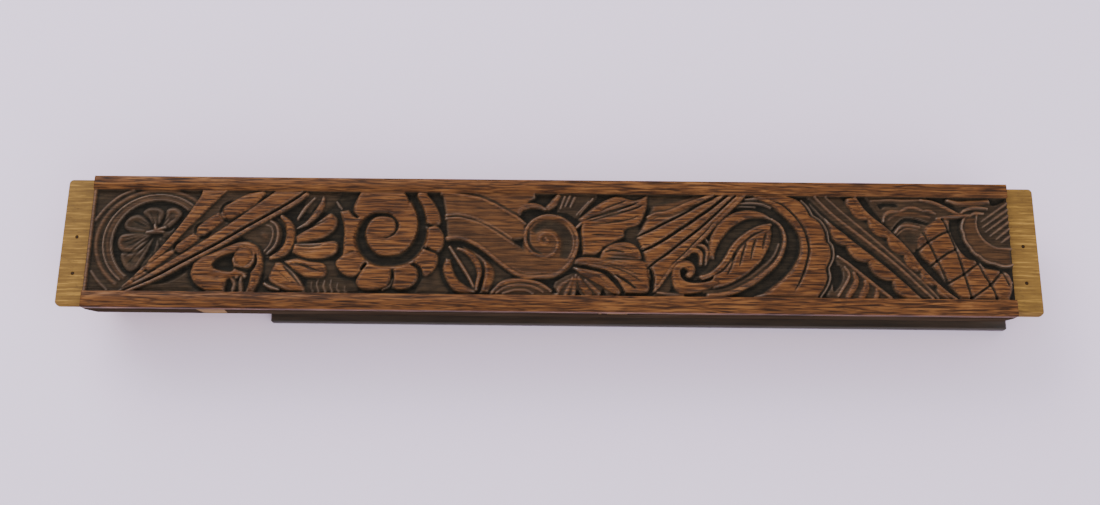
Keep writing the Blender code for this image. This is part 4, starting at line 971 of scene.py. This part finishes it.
def carved_relief():
    """The finished height map, with each point's stain and painted shade, and its crest wear and painted
    highlight.
    """
    r = Relief()
    for carve in (carve_low_ground, carve_ring_and_shell, carve_fan, carve_bud, carve_curl,
                  carve_fingers, carve_flower, carve_pod, carve_volute, carve_low_arcs,
                  carve_veined_leaves, carve_reeds, carve_c_band, carve_paisley,
                  carve_small_curl, carve_diagonal_leaves, carve_curled_leaf,
                  carve_pineapple, carve_right_ring):
        carve(r)
    hand_work(r)
    height = np.minimum(blurred(r.height, 0.9), -0.015)
    around = blurred(height, 2.2)
    wide = blurred(height, 7.0)
    # Stain that deepens with the cut (first term), plus painted shade: darker in narrow crevices (second
    # term) and beside deep, wide cuts (third term).
    stain_and_shade = 0.85 * np.clip((-height - 0.14) / 1.15, 0, 1) ** 0.85 \
        + 0.50 * np.clip((around - height - 0.02) / 0.25, 0, 1) \
        + 0.35 * np.clip((wide - height - 0.06) / 0.6, 0, 1)
    # Crest mask: ridges standing above their surroundings, stronger on sunk ridges; it lightens the
    # colour as wear and as a painted highlight.
    crest_wear_and_highlight = np.clip((height - around - 0.03) / 0.2, 0, 1) * np.interp(-height, (0.05, 0.4), (0.3, 1))
    pick = np.s_[::FINE, ::FINE]
    return height[pick], np.clip(stain_and_shade, 0, 1)[pick], crest_wear_and_highlight[pick]


def make_carved_cover():
    """One closed board: flat rails with softened edges, the carved field between them."""
    height, stain_and_shade, crest_wear_and_highlight = carved_relief()
    x = np.linspace(-HALF_LENGTH, HALF_LENGTH, COLUMNS)
    field_y = np.linspace(*FIELD, FIELD_ROWS)
    near_y = np.array([-HALF_WIDTH, -HALF_WIDTH + 0.08, -HALF_WIDTH + 0.3, -14.2, FIELD[0] - 0.25])
    far_y = np.array([FIELD[1] + 0.25, 14.6, HALF_WIDTH - 0.3, HALF_WIDTH - 0.08, HALF_WIDTH])
    soft = np.array([-0.3, -0.12, 0.0, 0.0, 0.0])
    y = np.concatenate([near_y, field_y, far_y])
    rail = np.zeros((5, COLUMNS))
    z = np.vstack([rail + soft[:, None], height, rail + soft[::-1, None]])
    stain_and_shade = np.vstack([rail, stain_and_shade, rail])
    crest_wear_and_highlight = np.vstack([rail, crest_wear_and_highlight, rail])
    z = np.minimum(z, 0.0)
    rows = len(y)
    top = COVER_HIGH.z / MM
    grid = np.stack([np.broadcast_to(x, (rows, COLUMNS)), np.broadcast_to(y[:, None], (rows, COLUMNS)),
                     z + top], -1).reshape(-1, 3)
    base = top - THICKNESS
    sides = [np.stack([x, np.full(COLUMNS, edge), np.full(COLUMNS, base)], 1) for edge in (y[0], y[-1])]
    verts = np.vstack([grid] + sides) * MM
    index = np.arange(rows * COLUMNS).reshape(rows, COLUMNS)
    quads = np.stack([index[:-1, :-1], index[:-1, 1:], index[1:, 1:], index[1:, :-1]], -1)
    faces = quads.reshape(-1, 4).tolist()
    near_base = rows * COLUMNS + np.arange(COLUMNS)
    far_base = near_base + COLUMNS
    for k in range(COLUMNS - 1):
        faces.append((near_base[k], near_base[k + 1], index[0, k + 1], index[0, k]))
        faces.append((far_base[k + 1], far_base[k], index[-1, k], index[-1, k + 1]))
        faces.append((near_base[k + 1], near_base[k], far_base[k], far_base[k + 1]))
    faces.append((*index[::-1, 0], near_base[0], far_base[0]))
    faces.append((*index[:, -1], far_base[-1], near_base[-1]))
    mesh = bpy.data.meshes.new("oak_cover")
    mesh.from_pydata(verts.tolist(), [], [tuple(int(v) for v in face) for face in faces])
    extra = np.zeros(2 * COLUMNS)
    # Stored per point: stain with painted shade, and crest wear with painted highlight, for the oak's
    # colour.
    for name, values in (("stain_and_shade", stain_and_shade), ("crest_wear_and_highlight", crest_wear_and_highlight)):
        attribute = mesh.attributes.new(name, "FLOAT", "POINT")
        attribute.data.foreach_set("value", np.concatenate([values.ravel(), extra]).astype(np.float32))
    smooth_faces = np.ones(len(mesh.polygons), bool)
    smooth_faces[-2:] = False
    mesh.polygons.foreach_set("use_smooth", smooth_faces)
    obj = bpy.data.objects.new("oak_cover", mesh)
    bpy.context.scene.collection.objects.link(obj)
    mesh.materials.append(oak_finish("carved_oak_waxed", True))
    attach(obj, "first_leaf")
    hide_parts("carved_cover")


# Pieces on the rule --------------------------------------------------------------------
def joined(parts):
    """Several (vertices, faces) as one."""
    starts = np.cumsum([0] + [len(verts) for verts, _ in parts])
    faces = [tuple(start + k for k in face)
             for start, (_, own) in zip(starts.tolist(), parts) for face in own]
    return np.vstack([verts for verts, _ in parts]), faces


def mesh_object(name, verts, faces, finish, body, slot):
    """A piece from vertices in metres, riding on a body."""
    mesh = bpy.data.meshes.new(name)
    mesh.from_pydata(np.asarray(verts).tolist(), [], faces)
    mesh.materials.append(finish)
    obj = bpy.data.objects.new(name, mesh)
    bpy.context.scene.collection.objects.link(obj)
    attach(obj, body)
    return obj


def strip(x, top, base, near, far):
    """A closed strip along X whose top and bottom edges follow their own lines."""
    count = len(x)
    near, far = np.full(count, near), np.full(count, far)
    verts = np.stack([np.stack(corner, 1) for corner in
                      ((x, near, base), (x, near, top), (x, far, top), (x, far, base))], 1)
    faces = [(0, 1, 2, 3), tuple(4 * (count - 1) + k for k in (3, 2, 1, 0))]
    for k in range(0, 4 * (count - 1), 4):
        for here in range(4):
            after = (here + 1) % 4
            faces.append((k + here, k + here + 4, k + after + 4, k + after))
    return verts.reshape(-1, 3), faces


def make_near_slip(veneer, bare_wood):
    """The near side's veneer, and the yellow wood that shows where it is chipped."""
    low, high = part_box("near_slip")
    x, drop = np.array([
        (-111, 0), (-109.2, 0), (-84.1, 0), (-83.3, 4.1), (-77.5, 4.1), (-77.2, 0),
        (-45.2, 0), (-45, 0.3), (-43.6, 0.25), (-43.3, 0), (11.8, 0), (12, 0.7), (12.8, 0.7),
        (13, 0), (13.8, 0), (14, 0.7), (19, 0.7), (19.3, 0), (63, 0), (63.3, 0.3), (66.1, 0.2),
        (66.3, 0), (109.6, 0), (111, 0)]).T * MM
    ends = np.array((-111, -109.2, 109.6, 111)) * MM
    base = np.interp(x, ends, (high.z - 1.2 * MM, low.z, low.z, high.z - 1.0 * MM))
    verts, faces = strip(x, high.z - drop, base, low.y, high.y)
    slip = mesh_object("near_slip_veneer", verts, faces, veneer, "first_leaf", "side_slip")
    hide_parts("near_slip")
    chips = []
    for x, top, base in (((-84.0, -83.2, -77.6, -77.3), 0.05, (0.2, 4.0, 4.0, 0.2)),
                         ((12.05, 12.75), 0.1, (0.6, 0.6)), ((14.1, 18.9), 0.05, (0.6, 0.6))):
        x = np.array(x) * MM
        chips.append(strip(x, np.full(len(x), high.z - top * MM), high.z - np.array(base) * MM,
                           low.y + 0.05 * MM, high.y))
    verts, faces = joined(chips)
    mesh_object("bare_wood_chips", verts, faces, bare_wood, "first_leaf", "boxwood_plate")


def marks_tree():
    """Geometry Nodes: a row of millimetre marks, longer at every fifth and tenth."""
    tree = bpy.data.node_groups.new("scale_marks", "GeometryNodeTree")
    sockets = {}
    for name, kind in (("First mark", "Int"), ("Marks", "Int"), ("Short", "Float"),
                       ("Middle", "Float"), ("Long", "Float"), ("Width", "Float"),
                       ("Thickness", "Float"), ("Ink", "Material")):
        sockets[name] = tree.interface.new_socket(name, in_out="INPUT",
                                                  socket_type="NodeSocket" + kind).identifier
    tree.interface.new_socket("Geometry", in_out="OUTPUT", socket_type="NodeSocketGeometry")

    def node(kind, **settings):
        made = tree.nodes.new(kind)
        for key, value in settings.items():
            setattr(made, key, value)
        return made

    def fed(made, *sources):
        for socket, source in zip(made.inputs, sources):
            if hasattr(source, "is_output"):
                tree.links.new(source, socket)
            else:
                socket.default_value = source
        return made.outputs[0]

    def calculate(operation, first, second):
        return fed(node("ShaderNodeMath", operation=operation), first, second)

    def vector(*parts):
        return fed(node("ShaderNodeCombineXYZ"), *parts)

    given = node("NodeGroupInput").outputs
    mark = calculate("ADD", node("GeometryNodeInputIndex").outputs[0], given["First mark"])
    length = given["Short"]
    for every, size in ((5.0, given["Middle"]), (10.0, given["Long"])):
        falls = calculate("COMPARE", calculate("MODULO", mark, every), 0.0)
        choose = node("GeometryNodeSwitch", input_type="FLOAT")
        tree.links.new(falls, choose.inputs["Switch"])
        tree.links.new(length, choose.inputs["False"])
        tree.links.new(size, choose.inputs["True"])
        length = choose.outputs[0]
    row = node("GeometryNodeMeshLine", mode="OFFSET")
    start = vector(calculate("MULTIPLY", given["First mark"], MM))
    tree.links.new(start, row.inputs["Start Location"])
    tree.links.new(given["Marks"], row.inputs["Count"])
    row.inputs["Offset"].default_value = (MM, 0, 0)
    block = node("GeometryNodeMeshCube")
    tree.links.new(vector(given["Width"], 1.0, given["Thickness"]), block.inputs["Size"])
    shift = node("GeometryNodeTransform")
    shift.inputs["Translation"].default_value = (0, 0.5, 0)
    tree.links.new(block.outputs["Mesh"], shift.inputs["Geometry"])
    copies = node("GeometryNodeInstanceOnPoints")
    tree.links.new(row.outputs["Mesh"], copies.inputs["Points"])
    tree.links.new(shift.outputs["Geometry"], copies.inputs["Instance"])
    tree.links.new(vector(1.0, length, 1.0), copies.inputs["Scale"])
    real = node("GeometryNodeRealizeInstances")
    tree.links.new(copies.outputs[0], real.inputs[0])
    ink = node("GeometryNodeSetMaterial")
    tree.links.new(real.outputs[0], ink.inputs["Geometry"])
    tree.links.new(given["Ink"], ink.inputs["Material"])
    tree.links.new(ink.outputs[0], node("NodeGroupOutput").inputs[0])
    return tree, sockets


def taken(obj):
    """An object's evaluated mesh as vertices and faces; the object is then removed."""
    bpy.context.view_layer.update()
    mesh = bpy.data.meshes.new_from_object(obj.evaluated_get(bpy.context.evaluated_depsgraph_get()))
    verts = np.array([v.co for v in mesh.vertices])
    faces = [tuple(p.vertices) for p in mesh.polygons]
    bpy.data.meshes.remove(mesh)
    bpy.data.objects.remove(obj)
    return verts, faces


def mark_row(tree, sockets, first, count, ink):
    """A row of marks from the Geometry Nodes rule, as vertices and faces."""
    obj = bpy.data.objects.new("marks", bpy.data.meshes.new("marks"))
    bpy.context.scene.collection.objects.link(obj)
    modifier = obj.modifiers.new("marks", "NODES")
    modifier.node_group = tree
    for name, value in (("First mark", first), ("Marks", count), ("Short", 2.2 * MM),
                        ("Middle", 3.4 * MM), ("Long", 4.6 * MM), ("Width", 0.16 * MM),
                        ("Thickness", INK), ("Ink", ink)):
        modifier[sockets[name]] = value
    return taken(obj)


def digit(character):
    """One digit as a thin solid, its middle at zero."""
    text = bpy.data.curves.new("digit", "FONT")
    text.body = character
    text.size = DIGIT_SIZE
    text.align_x = "CENTER"
    text.extrude = INK / 2
    text.resolution_u = 2
    obj = bpy.data.objects.new("digit", text)
    bpy.context.scene.collection.objects.link(obj)
    return taken(obj)


# The scale runs over the straight rule: leaf, body, the face's side, its first and last
# millimetre, the millimetre over the leaf's middle, and which way the scale counts.
FACES = (("leaf_1", "first_leaf", -1, 10, 195, 117.0, 1),
         ("leaf_2", "second_leaf", 1, 235, 422, 309.25, -1),
         ("leaf_2", "second_leaf", -1, 196, 387, 309.25, -1),
         ("leaf_3", "third_leaf", 1, 424, 614, 501.5, 1),
         ("leaf_3", "third_leaf", -1, 389, 579, 501.5, 1),
         ("leaf_4", "fourth_leaf", 1, 616, 806, 693.75, -1),
         ("leaf_4", "fourth_leaf", -1, 581, 771, 693.75, -1),
         ("leaf_5", "last_leaf", 1, 809, 990, 886.0, 1))
INK = 0.03 * MM
DIGIT_SIZE = 4.2 * MM
DIGIT_STEP = 2.5 * MM
CORNER = 8.5                 # no marks on a leaf's round corners


def make_scales():
    """Millimetre marks and centimetre numbers, one piece for each leaf."""
    f = Finish("scale_ink")
    ink = f.surface((0.018, 0.014, 0.011), 0.7, None, specular_ior_level=0.2)
    tree, sockets = marks_tree()
    digits = {character: digit(character) for character in "0123456789"}
    pieces = {}
    for leaf, body, side, first, last, middle, way in FACES:
        low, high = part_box(leaf)
        reach = high.x / MM - CORNER
        first = max(first, math.ceil(middle - reach))
        last = min(last, math.floor(middle + reach))
        parts = [mark_row(tree, sockets, first, last - first + 1, ink)]
        edge = low.y
        parts[0][0][:, 1] += edge + 0.05 * MM
        for number in range(math.ceil(first / 10), last // 10 + 1):
            characters = str(number)
            for place, character in enumerate(characters):
                verts, faces = digits[character]
                across = number * 10 * MM + (place - (len(characters) - 1) / 2) * DIGIT_STEP
                parts.append((verts + (across, edge + 5.3 * MM, 0), faces))
        face = high.z if side > 0 else low.z
        verts, faces = joined(parts)
        verts = (verts - (middle * MM, 0, 0)) * (way, way * side, side)
        pieces.setdefault((leaf, body), []).append((verts + (0, 0, face + side * INK / 4), faces))
    for (leaf, body), parts in pieces.items():
        mesh_object("scale_" + leaf, *joined(parts), ink, body, "dark_back")


# CAD pieces that keep their shape ------------------------------------------------------
NODE_SLOTS = (("plate_pin", "rust"), ("washer", "steel"), ("pin", "brass"), ("rivet", "brass"),
              ("joint_plate", "brass"), ("tip", "brass"), ("cover_plate", "boxwood_plate"),
              ("leaf", "boxwood"), ("slip", "side_slip"), ("back_cover", "dark_back"),
              ("carved_cover", "carved_oak"))


def finish_nodes():
    """Gives every kept CAD node its material."""
    boxwood = boxwood_finish("leaf_boxwood", (0.42, 0.235, 0.060), (0.27, 0.140, 0.034), 0.3)
    plate = boxwood_finish("plate_boxwood", (0.265, 0.140, 0.0270), (0.120, 0.058, 0.0110), 0.5)
    brass = metal_finish("joint_brass", (0.62, 0.44, 0.17), (0.20, 0.125, 0.05), 0.26)
    steel = metal_finish("pin_steel", (0.30, 0.29, 0.28), (0.080, 0.060, 0.045), 0.36)
    rust = metal_finish("rusted_pin", (0.050, 0.030, 0.018), (0.028, 0.015, 0.009), 0.6)
    slots = {"boxwood": boxwood, "boxwood_plate": plate, "brass": brass, "steel": steel, "rust": rust,
             "side_slip": slip_finish(), "dark_back": back_finish(),
             "carved_oak": oak_finish("plain_oak", False)}
    for name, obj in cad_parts.items():
        finish = next(slots[slot] for word, slot in NODE_SLOTS if word in name)
        if not obj.data.materials:
            obj.data.materials.append(finish)
        for place in obj.material_slots:
            place.material = finish
    return slots


# Stage ---------------------------------------------------------------------------------
FLOOR_REACH = 3.0
CAMERA_PLACE = Vector((0.001884, -0.068384, 0.25539))      # over the middle of the cover's face
CAMERA_TILT = 0.2543                                       # radians, about X, Y and Z
CAMERA_LEAN = 0.0059
CAMERA_SWING = 0.0103
CAMERA_LENS = 36.07


def make_stage():
    """A pale paper floor under the rule."""
    mesh = bpy.data.meshes.new("floor")
    corners = [(x * FLOOR_REACH, y * FLOOR_REACH, 0) for x, y in ((-1, -1), (1, -1), (1, 1), (-1, 1))]
    mesh.from_pydata(corners, [], [(0, 1, 2, 3)])
    floor = bpy.data.objects.new("floor", mesh)
    bpy.context.scene.collection.objects.link(floor)
    paper = Finish("floor_paper")
    mesh.materials.append(paper.surface((0.93, 0.78, 1.0), 0.9, None, specular_ior_level=0.1))


def add_light(name, place, aim, size, power, colour):
    """A rectangular light that faces a point."""
    data = bpy.data.lights.new(name, "AREA")
    data.shape = "RECTANGLE"
    data.size, data.size_y = size
    data.energy = power
    data.color = colour
    light = bpy.data.objects.new(name, data)
    light.location = place
    direction = Vector(aim) - Vector(place)
    light.rotation_euler = direction.to_track_quat("-Z", "Y").to_euler()
    bpy.context.scene.collection.objects.link(light)


def make_lights():
    """A bright room, a window behind the rule and a soft fill in front of it."""
    world = bpy.data.worlds.new("room")
    world.use_nodes = True
    background = world.node_tree.nodes["Background"]
    background.inputs["Color"].default_value = (0.96, 0.97, 1.0, 1.0)
    background.inputs["Strength"].default_value = 1.25
    bpy.context.scene.world = world
    add_light("window", (-0.55, 0.80, 0.62), (0, 0, 0), (0.9, 0.6), 11.0, (0.95, 0.97, 1.0))
    add_light("fill", (0.7, -0.9, 0.8), (0, 0, 0), (1.2, 1.2), 6.0, (1.0, 0.98, 0.95))


def make_camera():
    """Nearly square above the cover, a little towards its near side."""
    data = bpy.data.cameras.new("camera")
    data.sensor_width = 36.0
    data.lens = CAMERA_LENS
    data.clip_start = 0.01
    camera = bpy.data.objects.new("camera", data)
    bpy.context.scene.collection.objects.link(camera)
    place = Matrix.Translation(CAMERA_PLACE + Vector((0, 0, COVER_HIGH.z)))
    turn = Matrix.Rotation(CAMERA_TILT, 4, "X") @ Matrix.Rotation(CAMERA_LEAN, 4, "Y") \
        @ Matrix.Rotation(CAMERA_SWING, 4, "Z")
    camera.matrix_world = place @ turn
    bpy.context.scene.camera = camera


make_camera()
make_lights()
make_stage()
finishes = finish_nodes()
make_carved_cover()
make_near_slip(finishes["side_slip"], finishes["boxwood_plate"])
make_scales()
